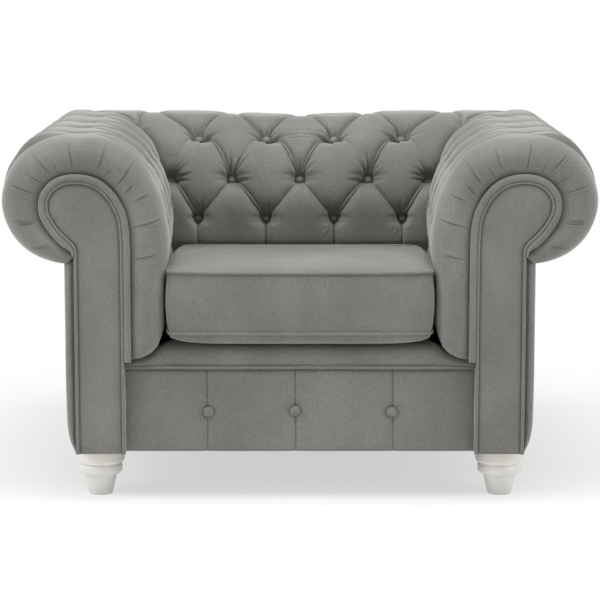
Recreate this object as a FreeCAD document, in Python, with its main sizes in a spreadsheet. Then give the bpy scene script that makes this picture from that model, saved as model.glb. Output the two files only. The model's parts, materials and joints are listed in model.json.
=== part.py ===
import FreeCAD, Part
import math
import os

# Chesterfield armchair in grey velvet on four turned feet, in millimetres.
# X runs to the sitter's left as seen from the front (right in the front view), Y from front to back, Z up.
# The origin is on the floor under the middle of the chair. Arms and back share one scroll profile, written
# as (p, Z): p is |X| on an arm and Y + mitre_shift on the back, so the pads meet on a plane at 45 degrees.

V = FreeCAD.Vector
doc = FreeCAD.newDocument("chesterfield_armchair")

# Driving dimensions
SIZES = {
    "base_underside": 95,
    "rail_bottom": 98,
    "rail_top": 240,
    "rail_thick": 25,
    "rail_inner_side": 398,
    "rail_front": -398,
    "rail_back": 291,
    "front_limit": -440,
    "mitre_shift": 131.5,
    "mitre_gap": 0.3,
    "board_thick": 22,
    "rib_thick": 18,
    "rib_middle_place": 110,
    "rib_rear_place": 150,
    "back_rib_place": 290,
    "square_rail": 28,
    "arm_rail_end": 132,
    "corner_post": 36,
    "corner_post_inner": 378,
    "corner_post_front": 230,
    "corner_post_height": 385,
    "skin_thick": 3,
    "board_gap": 5,
    "inner_wall": 323,
    "neck_wall": 430,
    "pad_bottom": 280,
    "button_pitch": 146,
    "tuft_depth": 38,
    "crease_depth": 17,
    "pit_half_width": 8,
    "channel_half_width": 4,
    "channel_depth": 12,
    "mitre_depth": 13,
    "arm_lean": 16,
    "corner_hump": 6,
    "nose_start": -426,
    "border_crest": -378,
    "border_seam": -370,
    "arm_corner_column": 141,
    "arm_top_corner_column": 176,
    "back_corner_column": 277,
    "back_top_corner_column": 326,
    "button_radius": 8.5,
    "button_height": 6.5,
    "front_button_radius": 9.5,
    "front_button_offset": 177.5,
    "front_button_middle": -9,
    "front_button_level": 175,
    "facing_front": -433,
    "band_front": -434,
    "piping_radius": 2.6,
    "band_width": 11.8,
    "panel_inset": 18.6,
    "band_inset": 1.2,
    "panel_outer_side": 429.4,
    "side_skin_inner": 435,
    "side_skin_outer": 451,
    "side_skin_top": 462,
    "side_skin_front": 430,
    "side_front_round": 13,
    "side_bottom_round": 45,
    "border_face": -406,
    "border_half_width": 336.5,
    "border_top": 256,
    "lip_top": 305.5,
    "lip_back": -330,
    "deck_half_width": 258,
    "deck_bottom": 268,
    "deck_back": 118,
    "felt_front": 372,
    "felt_thick": 2.5,
    "felt_above_springs": 4,
    "cushion_half_width": 255,
    "cushion_bulge": 4.5,
    "cushion_front": -431,
    "cushion_back": 116,
    "cushion_corner": 26,
    "seam_low": 335,
    "seam_high": 446,
    "crown_low": 306.5,
    "crown_high": 471,
    "cover_thick": 3,
    "cushion_piping_radius": 3.2,
    "zip_half_length": 200,
    "zip_level": 390,
    "zip_tape_width": 26,
    "zip_tape_thick": 2.4,
    "foot_side": 392,
    "foot_front": -345,
    "foot_rear": 250,
    "foot_height": 95,
    "foot_bolt_radius": 4,
    "foot_bolt_length": 88,
    "foot_bolt_in_foot": 36,
    "foot_plate_side": 64,
    "dust_cover_thick": 1.4,
    "spring_wire_radius": 1.8,
    "spring_turn_radius": 11,
    "spring_straight": 30,
    "spring_level": 249,
}
sheet = doc.addObject("Spreadsheet::Sheet", "Sizes")
for row, (alias, value) in enumerate(SIZES.items(), start=1):
    sheet.set(f"A{row}", alias)
    sheet.set(f"B{row}", str(value))
    sheet.setAlias(f"B{row}", alias)
doc.recompute()


def size(alias):
    """The sheet's own value for an alias."""
    return float(getattr(sheet, alias))


PITCH = size("button_pitch")
MITRE = size("mitre_shift")
FIT_GAP = 0.05
sub_parts = []


def keep(obj, label):
    """Names a sub-part, so that it is checked and exported."""
    obj.Label = label
    sub_parts.append(obj)
    return obj


def shape_part(label, shape):
    """A sub-part whose Shape is made here from the sheet's sizes."""
    obj = doc.addObject("Part::Feature", label)
    obj.Shape = shape
    obj.Placement = FreeCAD.Placement()
    return keep(obj, label)


def box_object(name, lengths, corner):
    """A Part::Box whose lengths and corner are expressions of the sheet."""
    obj = doc.addObject("Part::Box", name)
    for prop, text in zip(("Length", "Width", "Height"), lengths):
        obj.setExpression(prop, text)
    for axis, text in zip("xyz", corner):
        obj.setExpression(f"Placement.Base.{axis}", text)
    return obj


def compound(label, members):
    obj = doc.addObject("Part::Compound", label)
    obj.Links = members
    return keep(obj, label)


# The scroll profile, shared by arms and back
WALL_CENTRE = (532.0, 500.0)
WALL_OUTER, WALL_BASE = 280.0, 209.0
SHOULDER_OUTER = (405.5, 573.0, 134.0)
SHOULDER_BASE = (408.2, 571.5, 66.0)
ROLL_OUTER = (449.0, 585.0, 122.5)
ROLL_BASE = (436.5, 575.5, 62.0)
SHOULDER_START = math.radians(30)
ROLL_BASE_TURN = 0.9
NECK_BASE = (440.0, 491.4)
NECK_START = math.radians(150)
LENGTH_WALL = WALL_OUTER * SHOULDER_START
LENGTH_SHOULDER = SHOULDER_OUTER[2] * (math.pi / 2 - SHOULDER_START)
LENGTH_TOP = ROLL_OUTER[0] - SHOULDER_OUTER[0]
LENGTH_ROLL = ROLL_OUTER[2] * NECK_START
LENGTH_NECK = ROLL_OUTER[2] * (math.pi - NECK_START)


def on_wall(centre, radius, angle):
    return (centre[0] - radius * math.cos(angle), centre[1] + radius * math.sin(angle))


def on_roll(circle, angle):
    return (circle[0] + circle[2] * math.sin(angle), circle[1] + circle[2] * math.cos(angle))


def between(a, b, share):
    return tuple(x + (y - x) * share for x, y in zip(a, b))


def profile(s):
    """(base point, outer point) of the pad's plain envelope, at arc length s above the straight wall."""
    if s <= 0:
        base = (size("inner_wall"), WALL_CENTRE[1] + s)
        return base, (base[0] - wall_thickness(base[1]), base[1])
    if s <= LENGTH_WALL:
        angle = s / WALL_OUTER
        return on_wall(WALL_CENTRE, WALL_BASE, angle), on_wall(WALL_CENTRE, WALL_OUTER, angle)
    s -= LENGTH_WALL
    if s <= LENGTH_SHOULDER:
        angle = SHOULDER_START + s / SHOULDER_OUTER[2]
        return (
            on_wall(SHOULDER_BASE[:2], SHOULDER_BASE[2], angle),
            on_wall(SHOULDER_OUTER[:2], SHOULDER_OUTER[2], angle),
        )
    s -= LENGTH_SHOULDER
    if s <= LENGTH_TOP:
        share = s / LENGTH_TOP
        base_top = SHOULDER_BASE[1] + SHOULDER_BASE[2]
        outer_top = SHOULDER_OUTER[1] + SHOULDER_OUTER[2]
        return (
            between((SHOULDER_BASE[0], base_top), (ROLL_BASE[0], base_top), share),
            between((SHOULDER_OUTER[0], outer_top), (ROLL_OUTER[0], outer_top), share),
        )
    s -= LENGTH_TOP
    angle = s / ROLL_OUTER[2]
    if angle <= NECK_START:
        return on_roll(ROLL_BASE, angle * ROLL_BASE_TURN), on_roll(ROLL_OUTER, angle)
    share = min(1.0, (angle - NECK_START) / (math.pi - NECK_START))
    neck = on_roll(ROLL_BASE, NECK_START * ROLL_BASE_TURN)
    return between(neck, NECK_BASE, share), on_roll(ROLL_OUTER, angle)


# Thickness of the pad on the straight wall, by level: round at its foot, pressed in beside the cushion
WALL_LEVELS = (
    (280, 3), (283, 22), (290, 38), (300, 48), (318, 55), (340, 58), (440, 60), (465, 69), (487, 71),
    (500, 71),
)


def wall_thickness(level):
    for (z0, t0), (z1, t1) in zip(WALL_LEVELS, WALL_LEVELS[1:]):
        if level <= z1:
            return t0 + (t1 - t0) * max(0.0, level - z0) / (z1 - z0)
    return WALL_LEVELS[-1][1]


# Button rows, as arc lengths: low and high rows share columns, the middle and top rows lie half a pitch over
ROW_LOW, ROW_MIDDLE, ROW_HIGH, ROW_TOP = -13.0, 83.0, 204.0, 352.0
END_OF_PAD = LENGTH_WALL + LENGTH_SHOULDER + LENGTH_TOP + LENGTH_ROLL + LENGTH_NECK
ROW_STEPS = 4
PLAIN_LEVELS = (280, 283, 290, 300, 318, 340, 400, 440, 465)


def stations():
    """(arc length, phase, kind): phase 0 on the low and high rows, 1 on the middle and top rows."""
    found = [(level - WALL_CENTRE[1], 0.0, "pleat") for level in PLAIN_LEVELS]
    rows = ((ROW_LOW, ROW_MIDDLE, 0.0, 1.0), (ROW_MIDDLE, ROW_HIGH, 1.0, 0.0), (ROW_HIGH, ROW_TOP, 0.0, 1.0))
    for s0, s1, phase0, phase1 in rows:
        for step in range(ROW_STEPS):
            share = step / ROW_STEPS
            found.append((s0 + (s1 - s0) * share, phase0 + (phase1 - phase0) * share, "tuft"))
    found.append((ROW_TOP, 1.0, "tuft"))
    channel_from = ROW_TOP + 30
    for step in range(9):
        found.append((channel_from + (END_OF_PAD - channel_from) * step / 8, 1.0, "channel"))
    return found


# Arc lengths between which the arms' inner side leans: from, fully from, fading from, gone
LEAN_LEVELS = (-60.0, -13.0, 150.0, 290.0)


def clamp(share):
    return max(0.0, min(1.0, share))


class Section:
    """One cut across a pad, square to its length: where its creases are and how thick it is."""

    def __init__(self, s, phase, kind):
        self.base, self.outer = profile(s)
        self.kind = kind
        self.phase = phase
        self.s = s
        dp, dz = self.outer[0] - self.base[0], self.outer[1] - self.base[1]
        self.thick = math.hypot(dp, dz)
        self.direction = (dp / self.thick, dz / self.thick)
        self.fullness = min(1.0, self.thick / 60)

    def point(self, t):
        return (self.base[0] + t * self.direction[0], self.base[1] + t * self.direction[1])

    def gap(self):
        """Half the width kept open at a button, pleat or channel."""
        return size("pit_half_width") if self.kind == "tuft" else size("channel_half_width")

    def crease(self):
        """How far below the envelope a crease lies here."""
        if self.kind != "tuft":
            return size("channel_depth") * self.fullness * (0.4 if self.kind == "pleat" else 1.0)
        on_row = abs(2 * self.phase - 1)
        return size("crease_depth") + (size("tuft_depth") - size("crease_depth")) * on_row**2

    def crown(self, share):
        """How far below the envelope the middle of a pillow lies; share is its width over the whole pitch."""
        if self.kind != "tuft":
            return 0.0 if share > 0.5 else self.crease() - 0.5
        return size("tuft_depth") * (1 - share) ** 3 if share > 0.06 else size("tuft_depth") - 1.0

    def lean(self, y):
        """How much thinner than its envelope an arm's wall and shoulder get towards the back."""
        low, full, fading, gone = LEAN_LEVELS
        rise = clamp((self.s - low) / (full - low)) * clamp((gone - self.s) / (gone - fading))
        front, rear = size("border_seam"), size("arm_corner_column")
        return size("arm_lean") * rise * clamp((y - front) / (rear - front))

    def mitre(self):
        """(thickness, p) where this section meets the 45 degree plane."""
        depth = size("mitre_depth") * self.fullness + self.lean(size("arm_corner_column"))
        t = max(1.0, self.thick - depth)
        return t, self.point(t)[0]


def arc_or_line(a, middle, b):
    """An arc through three points, or a line where they are nearly straight."""
    if middle.distanceToLine(a, b - a) < 0.05:
        return Part.LineSegment(a, b).toShape()
    return Part.Arc(a, middle, b).toShape()


def scallops(section, creases, place, wide, humps):
    """Arcs from crease to crease. creases holds (position, thickness), wide each pillow's width share and
    humps what each pillow has over or under its usual fullness."""
    edges = []
    for k, ((u0, t0), (u1, t1)) in enumerate(zip(creases, creases[1:])):
        top = section.thick - section.crown(wide[k]) + humps[k]
        top = max(top, (t0 + t1) / 2 + 0.3)
        edges.append(arc_or_line(place(u0, t0), place((u0 + u1) / 2, top), place(u1, t1)))
    return edges


def column_creases(section, columns, first, last):
    """Creases around each button column. first and last are the outer neighbours' columns for phase 1."""
    gap, half = section.gap(), PITCH / 2
    found = []
    for k, column in enumerate(columns):
        reach_down = (column - first) if k == 0 else half
        reach_up = (last - column) if k == len(columns) - 1 else half
        low = gap + (reach_down - 2 * gap) * section.phase
        high = gap + (reach_up - 2 * gap) * section.phase
        found += [column - low, column + high]
    return found


def arm_section(section, side):
    """The closed outline of an arm pad's section: front nose, border seam, pillows, mitre end and base."""
    def place(y, t):
        p, z = section.point(t)
        return V(side * p, y, z)

    t_full, k = section.thick, section.fullness
    nose, crest, seam = size("nose_start"), size("border_crest"), size("border_seam")
    front_reach = (size("front_limit") - nose) * k
    t_front = 0.38 * t_full
    seam_t = t_full - 7 * k
    a = place(nose, 0)
    b = place(nose + front_reach, t_front)
    b_mid = place(nose + front_reach * 0.72, t_front * 0.28)
    c = place(crest, t_full - 1.5 * k)
    quarter = math.sqrt(0.5)
    c_mid = place(
        crest - (crest - nose - front_reach) * quarter,
        t_front + (t_full - 1.5 * k - t_front) * quarter,
    )
    edges = [arc_or_line(a, b_mid, b), arc_or_line(b, c_mid, c)]
    edges.append(Part.LineSegment(c, place(seam, seam_t)).toShape())
    corner = size("arm_corner_column")
    columns = [corner - PITCH * (n + 0.5) for n in (2, 1, 0)]
    if section.s > ROW_HIGH:
        corner = size("arm_top_corner_column")
    cuts = column_creases(section, columns, columns[0] - PITCH / 2, corner)
    half = PITCH / 2
    seam_crease = seam + section.gap() + (half - 2 * section.gap()) * section.phase
    mitre_t, mitre_p = section.mitre()
    depth = t_full - section.crease()
    creases = [(seam, seam_t)] + [(u, depth - section.lean(u)) for u in [seam_crease] + cuts]
    creases.append((mitre_p - MITRE, mitre_t))
    phase = section.phase
    wide = [phase, 1 - phase, phase, 1 - phase, phase, 1 - phase, phase, end_share(section)]
    humps = [-section.lean((a[0] + b[0]) / 2) for a, b in zip(creases, creases[1:])]
    humps[-1] += corner_hump(section)
    edges += scallops(section, creases, place, wide, humps)
    end = place(section.base[0] - MITRE, 0)
    edges.append(Part.LineSegment(place(*creases[-1]), end).toShape())
    edges.append(Part.LineSegment(end, a).toShape())
    return Part.Wire(edges)


def end_share(section):
    """Width share of the pillow beside the mitre: a pit at the middle row, wide over the roll."""
    if section.kind != "tuft":
        return 1.0
    return 1 - section.phase if section.s < ROW_HIGH else 1.0


def corner_hump(section):
    """Extra fullness beside the mitre on top of the roll."""
    reach = (section.s - (ROW_HIGH + ROW_TOP) / 2) / 110
    return size("corner_hump") * max(0.0, 1 - reach * reach)


def back_section(section):
    """The closed outline of the back pad's section, from mitre to mitre."""
    def place(x, t):
        p, z = section.point(t)
        return V(x, p - MITRE, z)

    over_roll = section.s > ROW_HIGH
    corner = size("back_top_corner_column") if over_roll else size("back_corner_column")
    columns = [PITCH * n for n in (-1.5, -0.5, 0.5, 1.5)]
    cuts = column_creases(section, columns, -corner, corner)
    mitre_t, mitre_p = section.mitre()
    depth = section.thick - section.crease()
    creases = [(-mitre_p, mitre_t)] + [(u, depth) for u in cuts] + [(mitre_p, mitre_t)]
    phase = section.phase
    inner = [phase, 1 - phase] * 3 + [phase]
    wide = [end_share(section)] + inner + [end_share(section)]
    humps = [corner_hump(section)] + [0] * 7 + [corner_hump(section)]
    edges = scallops(section, creases, place, wide, humps)
    low, high = place(-section.base[0], 0), place(section.base[0], 0)
    edges.append(Part.LineSegment(place(mitre_p, mitre_t), high).toShape())
    edges.append(Part.LineSegment(high, low).toShape())
    edges.append(Part.LineSegment(low, place(-mitre_p, mitre_t)).toShape())
    return Part.Wire(edges)


SECTIONS = [Section(*station) for station in stations()]


# Ends of the blocks that trim the pads along their mitres: front and rear, side, bottom and top
TRIM_FRONT, TRIM_REAR, TRIM_SIDE, TRIM_LOW, TRIM_HIGH = 80, 480, 700, 270, 730


def mitre_trim(side, shift, far):
    """A block beside the mitre plane, on the side where |X| tends to far; shift moves it along X."""
    front_x, rear_x = TRIM_FRONT + MITRE + shift, TRIM_REAR + MITRE + shift
    corners = [(front_x, TRIM_FRONT), (rear_x, TRIM_REAR), (far, TRIM_REAR), (far, TRIM_FRONT)]
    points = [V(side * x, y, TRIM_LOW) for x, y in corners]
    return Part.Face(Part.makePolygon(points + points[:1])).extrude(V(0, 0, TRIM_HIGH - TRIM_LOW))


def pads():
    """The tufted pads: two arms and the back, ruled through their sections and trimmed where they meet."""
    gap = size("mitre_gap")
    back = Part.makeLoft([back_section(section) for section in SECTIONS], True, True)
    for side, word in ((-1, "left"), (1, "right")):
        wires = [arm_section(section, side) for section in SECTIONS]
        shape_part(f"arm_pad_{word}", Part.makeLoft(wires, True, True).cut(mitre_trim(side, gap, 0)))
        back = back.cut(mitre_trim(side, -gap, TRIM_SIDE))
    shape_part("back_pad", back)


# Fibreboard skins: the curved board that each pad lies on
def skins():
    thick = size("skin_thick")
    start = size("rail_front") - size("board_thick")

    def ring(section, place):
        corners = [place(start, 0), place(None, 0), place(None, -thick), place(start, -thick)]
        return Part.makePolygon(corners + corners[:1])

    for side, word in ((-1, "left"), (1, "right")):
        wires = []
        for section in SECTIONS:
            def place(y, t, section=section):
                p, z = section.point(t)
                return V(side * p, p - MITRE if y is None else y, z)
            wires.append(ring(section, place))
        shape_part(f"arm_skin_{word}", Part.makeLoft(wires, True, True))
    wires = []
    for section in SECTIONS:
        corners = []
        for sign, t in ((-1, 0), (1, 0), (1, -thick), (-1, -thick)):
            p, z = section.point(t)
            corners.append(V(sign * p, p - MITRE, z))
        wires.append(Part.makePolygon(corners + corners[:1]))
    shape_part("back_skin", Part.makeLoft(wires, True, True))


# Flat boards cut to the scroll
def scroll_path(inset, low):
    """Curves of the scroll's outline, inset from the pad's base, from its inner wall at low to the neck."""
    wall, wall_r = size("inner_wall") + inset, WALL_BASE - inset
    turn = SHOULDER_START
    shoulder_r, roll_r = SHOULDER_BASE[2] - inset, ROLL_BASE[2] - inset
    top = SHOULDER_BASE[1] + shoulder_r
    neck = math.radians(135)
    roll = (ROLL_BASE[0], ROLL_BASE[1], roll_r)
    return [
        ("line", (wall, low), (wall, WALL_CENTRE[1])),
        (
            "arc",
            (wall, WALL_CENTRE[1]),
            on_wall(WALL_CENTRE, wall_r, turn / 2),
            on_wall(WALL_CENTRE, wall_r, turn),
        ),
        (
            "arc",
            on_wall(WALL_CENTRE, wall_r, turn),
            on_wall(SHOULDER_BASE[:2], shoulder_r, (turn + math.pi / 2) / 2),
            (SHOULDER_BASE[0], top),
        ),
        ("line", (SHOULDER_BASE[0], top), (ROLL_BASE[0], top)),
        ("arc", (ROLL_BASE[0], top), on_roll(roll, neck / 2), on_roll(roll, neck)),
    ]


def neck_point(inset, wall):
    """Where the scroll's 45 degree underside meets the outer wall."""
    p, z = on_roll((ROLL_BASE[0], ROLL_BASE[1], ROLL_BASE[2] - inset), math.radians(135))
    return (wall, z - (p - wall))


def closed_path(path, corners):
    """The path, then straight lines through the corners back to its start."""
    points = [path[-1][-1]] + corners + [path[0][1]]
    return path + [("line", a, b) for a, b in zip(points, points[1:])]


def sketch_board(label, path, plane, offset, thickness, mirror=1, fillet=0):
    """A PartDesign body: the closed path as a sketch on a plane, padded, with its front edges rounded."""
    body = doc.addObject("PartDesign::Body", label)
    sketch = body.newObject("Sketcher::SketchObject", label + "_outline")
    origin_plane = [f for f in body.Origin.OriginFeatures if f.Role == plane][0]
    sketch.AttachmentSupport = (origin_plane, [""])
    sketch.MapMode = "FlatFace"
    sketch.setExpression("AttachmentOffset.Base.z", offset)
    for kind, *points in path:
        ends = [V(mirror * p, z, 0) for p, z in points]
        curve = Part.LineSegment(*ends) if kind == "line" else Part.Arc(*ends)
        sketch.addGeometry(curve, False)
    pad = body.newObject("PartDesign::Pad", label + "_pad")
    pad.Profile = sketch
    pad.setExpression("Length", thickness)
    doc.recompute()
    body.Tip = pad
    if fillet:
        far = max(pad.Shape.Vertexes, key=lambda v: -v.Point.y).Point.y
        names = [
            f"Edge{n}"
            for n, edge in enumerate(pad.Shape.Edges, start=1)
            if all(abs(v.Point.y - far) < 1e-6 for v in edge.Vertexes)
        ]
        rounding = body.newObject("PartDesign::Fillet", label + "_rounding")
        rounding.Base = (pad, names)
        rounding.Radius = fillet
        doc.recompute()
        body.Tip = rounding
    return keep(body, label)


# Level of the foot of the band and of the step in the stump, just above the lip's outer end
BAND_FOOT = 276


def stump_path():
    gap, wall = size("board_gap"), size("neck_wall")
    low, step = size("rail_bottom"), BAND_FOOT
    foot_side = size("inner_wall") + 20
    path = scroll_path(gap, step)
    corners = [neck_point(gap, wall), (wall, low), (foot_side, low), (foot_side, step)]
    return closed_path(path, corners)


def rib_path():
    gap, wall, low = size("board_gap"), size("neck_wall"), size("rail_top")
    return closed_path(scroll_path(gap, low), [neck_point(gap, wall), (wall, low)])


def shifted(path, move):
    return [(kind, *[(p - move, z) for p, z in points]) for kind, *points in path]


def boards():
    """The upright boards that carry the skins: a stump and two ribs in each arm, three ribs in the back."""
    board, rib = "Sizes.board_thick", "Sizes.rib_thick"
    for side, word in ((-1, "left"), (1, "right")):
        sketch_board(f"arm_stump_{word}", stump_path(), "XZ_Plane", "-Sizes.rail_front", board, side)
        sketch_board(f"arm_rib_middle_{word}", rib_path(), "XZ_Plane", "Sizes.rib_middle_place", rib, side)
        sketch_board(f"arm_rib_rear_{word}", rib_path(), "XZ_Plane", "-Sizes.rib_rear_place", rib, side)
    back = shifted(rib_path(), MITRE)
    for word, sign in (("left", -1), ("middle", 0), ("right", 1)):
        place = f"{sign} * Sizes.back_rib_place - {rib} / 2"
        sketch_board(f"back_rib_{word}", back, "YZ_Plane", place, rib)


# Facings: the flat scroll panels on the arm fronts, each with a rounded band and a thin piping
def facings():
    inset, low = size("panel_inset"), size("base_underside")
    outer = size("panel_outer_side")
    panel = closed_path(scroll_path(inset, low), [neck_point(inset, outer), (outer, low)])
    ring = band_path()
    for side, word in ((-1, "left"), (1, "right")):
        sketch_board(
            f"arm_facing_{word}", panel, "XZ_Plane", "-Sizes.rail_front + Sizes.board_thick",
            "-Sizes.facing_front + Sizes.rail_front - Sizes.board_thick", side, 3,
        )
        sketch_board(
            f"facing_band_{word}", ring, "XZ_Plane", "-Sizes.rail_front + Sizes.board_thick",
            "-Sizes.band_front + Sizes.rail_front - Sizes.board_thick", side, 4.5,
        )
        shape_part(f"facing_piping_{word}", facing_piping(side))


def band_path():
    """The band's closed outline: over the scroll along its outer edge, back along its inner edge."""
    low, neck_wall, width = BAND_FOOT, size("neck_wall") + 7, size("band_width")
    near = size("band_inset")
    far = near + width
    outer_edge, inner_edge = scroll_path(near, low), scroll_path(far, low)
    outer_neck, inner_neck = neck_point(near, neck_wall), neck_point(far, neck_wall + width / 2)
    path = outer_edge + [
        ("line", outer_edge[-1][-1], outer_neck),
        ("line", outer_neck, inner_neck),
        ("line", inner_neck, inner_edge[-1][-1]),
    ]
    path += [(kind, *points[::-1]) for kind, *points in inner_edge[::-1]]
    return path + [("line", path[-1][-1], path[0][1])]


def facing_piping(side):
    """A tube round the panel's edge: up its inner side, over the scroll and down its outer side."""
    radius, inset = size("piping_radius"), size("panel_inset") - size("piping_radius") - 0.2
    y, low = size("facing_front") + 3.4, size("base_underside") + 1
    outer = size("panel_outer_side") + size("piping_radius") + 0.2
    path = scroll_path(inset, low)
    neck = neck_point(inset, outer)
    edges = []
    for kind, *points in path + [("line", path[-1][-1], neck)]:
        ends = [V(side * p, y, z) for p, z in points]
        edges.append((Part.LineSegment(*ends) if kind == "line" else Part.Arc(*ends)).toShape())
    head = pipe(edges, V(side * path[0][1][0], y, low), V(0, 0, 1), radius)
    tail = Part.makeCylinder(radius, neck[1] - low, V(side * outer, y, low), V(0, 0, 1))
    return head.fuse(tail).removeSplitter()


def pipe(edges, start, direction, radius):
    ring = Part.Wire(Part.Circle(start, direction, radius).toShape())
    return Part.Wire(edges).makePipeShell([ring], True, False)


# Outer panels of the arms and the back
def outer_panels():
    low, high = size("base_underside"), size("side_skin_top")
    inner, outer, rounding = size("side_skin_inner"), size("side_skin_outer"), size("side_bottom_round")
    thick = outer - inner
    corner_mid = (inner + 2 + (thick - 2) * 0.72, low + rounding * 0.3)
    section = [
        ("line", (inner, low), (inner + 2, low)),
        ("arc", (inner + 2, low), corner_mid, (outer, low + rounding)),
        ("line", (outer, low + rounding), (outer, high)),
        ("line", (outer, high), (inner, high)),
        ("line", (inner, high), (inner, low)),
    ]
    for side, word in ((-1, "left"), (1, "right")):
        body = sketch_board(
            f"outside_arm_{word}", section, "XZ_Plane", "-Sizes.side_skin_outer + Sizes.mitre_shift",
            "Sizes.side_skin_outer - Sizes.mitre_shift + Sizes.side_skin_front", side,
        )
        pad = body.Tip
        names = [
            f"Edge{n}"
            for n, edge in enumerate(pad.Shape.Edges, start=1)
            if all(abs(abs(v.Point.x) - outer) < 1e-6 for v in edge.Vertexes)
            and abs(edge.Vertexes[0].Point.z - edge.Vertexes[-1].Point.z) > 100
        ]
        rounding_part = body.newObject("PartDesign::Fillet", f"outside_arm_{word}_rounding")
        rounding_part.Base = (pad, names)
        rounding_part.setExpression("Radius", "Sizes.side_front_round")
        doc.recompute()
        body.Tip = rounding_part
    sketch_board(
        "outside_back", shifted(section, MITRE), "YZ_Plane",
        "-Sizes.side_skin_inner + 0.3", "2 * Sizes.side_skin_inner - 0.6",
    )


# Base rails, blocks and springs
def rails():
    """The four rails of the base."""
    height = "Sizes.rail_top - Sizes.rail_bottom"
    thick, bottom = "Sizes.rail_thick", "Sizes.rail_bottom"
    inner, outer = "-Sizes.rail_inner_side", "-Sizes.rail_inner_side - Sizes.rail_thick"
    for name, y in (("front_rail", "Sizes.rail_front"), ("rear_rail", "Sizes.rail_back - Sizes.rail_thick")):
        lengths = ("2 * Sizes.rail_inner_side", thick, height)
        keep(box_object(name, lengths, (inner, y, bottom)), name)
    for name, x in (("side_rail_left", outer), ("side_rail_right", "Sizes.rail_inner_side")):
        lengths = (thick, "Sizes.rail_back - Sizes.rail_front", height)
        keep(box_object(name, lengths, (x, "Sizes.rail_front", bottom)), name)


# Corners (p, Z) of the square rails in the scroll, against the skin's wall and in the base
SCROLL_RAILS = ((412, 596), (340, 470))
ARM_RAILS = SCROLL_RAILS + ((392, 245),)


def square_rail(name, lengths, corner):
    """A square rail: the one length given runs along its own axis."""
    square = "Sizes.square_rail"
    return box_object(name, tuple(length or square for length in lengths), corner)


def long_rails():
    """Lengthwise rails between the ribs of the arms and of the back, and the posts in the rear corners."""
    rib_front, rib_back = "-Sizes.rib_middle_place - Sizes.rib_thick", "-Sizes.rib_middle_place"
    spans = (("Sizes.rail_front", rib_front), (rib_back, "Sizes.arm_rail_end"))
    post = "Sizes.corner_post"
    for side, word in ((-1, "left"), (1, "right")):
        members = []
        for n, (p, z) in enumerate(ARM_RAILS):
            x = str(p) if side > 0 else f"-{p} - Sizes.square_rail"
            for m, (y0, y1) in enumerate(spans):
                name = f"arm_rail_{word}_{n}_{m}"
                members.append(square_rail(name, (None, f"{y1} - ({y0})", None), (x, y0, str(z))))
        compound(f"arm_rails_{word}", members)
        inner = "Sizes.corner_post_inner"
        corner = (inner if side > 0 else f"-{inner} - {post}", "Sizes.corner_post_front", "Sizes.rail_top")
        name = f"corner_post_{word}"
        keep(box_object(name, (post, post, "Sizes.corner_post_height"), corner), name)
    half_rib = "Sizes.rib_thick / 2"
    members = []
    for n, (p, z) in enumerate(SCROLL_RAILS):
        for m, x in enumerate((f"-Sizes.back_rib_place + {half_rib}", half_rib)):
            corner = (x, f"{p} - Sizes.mitre_shift", str(z))
            length = "Sizes.back_rib_place - Sizes.rib_thick"
            members.append(square_rail(f"back_rail_{n}_{m}", (length, None, None), corner))
    compound("back_rails", members)


def corner_blocks():
    """Triangular blocks in the base corners. Each holds the threaded end of a foot's bolt."""
    leg, height, low = 62, 60, size("rail_bottom")
    side_x, blocks = size("rail_inner_side"), []
    front_y = size("rail_front") + size("rail_thick")
    rear_y = size("rail_back") - size("rail_thick")
    for side in (-1, 1):
        for y, inward, foot_y in ((front_y, 1, size("foot_front")), (rear_y, -1, size("foot_rear"))):
            x = side * side_x
            corners = [V(x, y, low), V(x - side * leg, y, low), V(x, y + inward * leg, low)]
            prism = Part.Face(Part.makePolygon(corners + corners[:1])).extrude(V(0, 0, height))
            place = V(side * size("foot_side"), foot_y, low)
            hole = Part.makeCylinder(size("foot_bolt_radius") + FIT_GAP, height, place)
            blocks.append(prism.cut(hole))
    shape_part("corner_blocks", Part.Compound(blocks))


SPRING_PLACES = (-225, -135, -45, 45, 135, 225)
SPRING_TURNS = 30
CLIP = (20, 14, 12)


def springs():
    """Zigzag springs from front rail to rear rail, and the clips that hold their end runs."""
    radius, half = size("spring_turn_radius"), size("spring_straight") / 2
    wire = size("spring_wire_radius")
    level, wires, clips = size("spring_level"), [], []
    middle_y = (size("rail_front") + size("rail_back")) / 2
    start = middle_y - SPRING_TURNS * radius
    for x in SPRING_PLACES:
        edges = []
        for turn in range(SPRING_TURNS + 1):
            y, way = start + turn * 2 * radius, 1 if turn % 2 == 0 else -1
            a, b = V(x - way * half, y, level), V(x + way * half, y, level)
            edges.append(Part.LineSegment(a, b).toShape())
            if turn < SPRING_TURNS:
                middle = V(x + way * (half + radius), y + radius, level)
                edges.append(Part.Arc(b, middle, V(x + way * half, y + 2 * radius, level)).toShape())
        wires.append(pipe(edges, V(x - half, start, level), V(1, 0, 0), wire))
        for y in (start, start + SPRING_TURNS * 2 * radius):
            block = Part.makeBox(*CLIP, V(x - CLIP[0] / 2, y - CLIP[1] / 2, size("rail_top")))
            bore = Part.makeCylinder(wire + FIT_GAP, CLIP[0], V(x - CLIP[0] / 2, y, level), V(1, 0, 0))
            clips.append(block.cut(bore))
    shape_part("seat_springs", Part.Compound(wires))
    shape_part("spring_clips", Part.Compound(clips))


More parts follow.
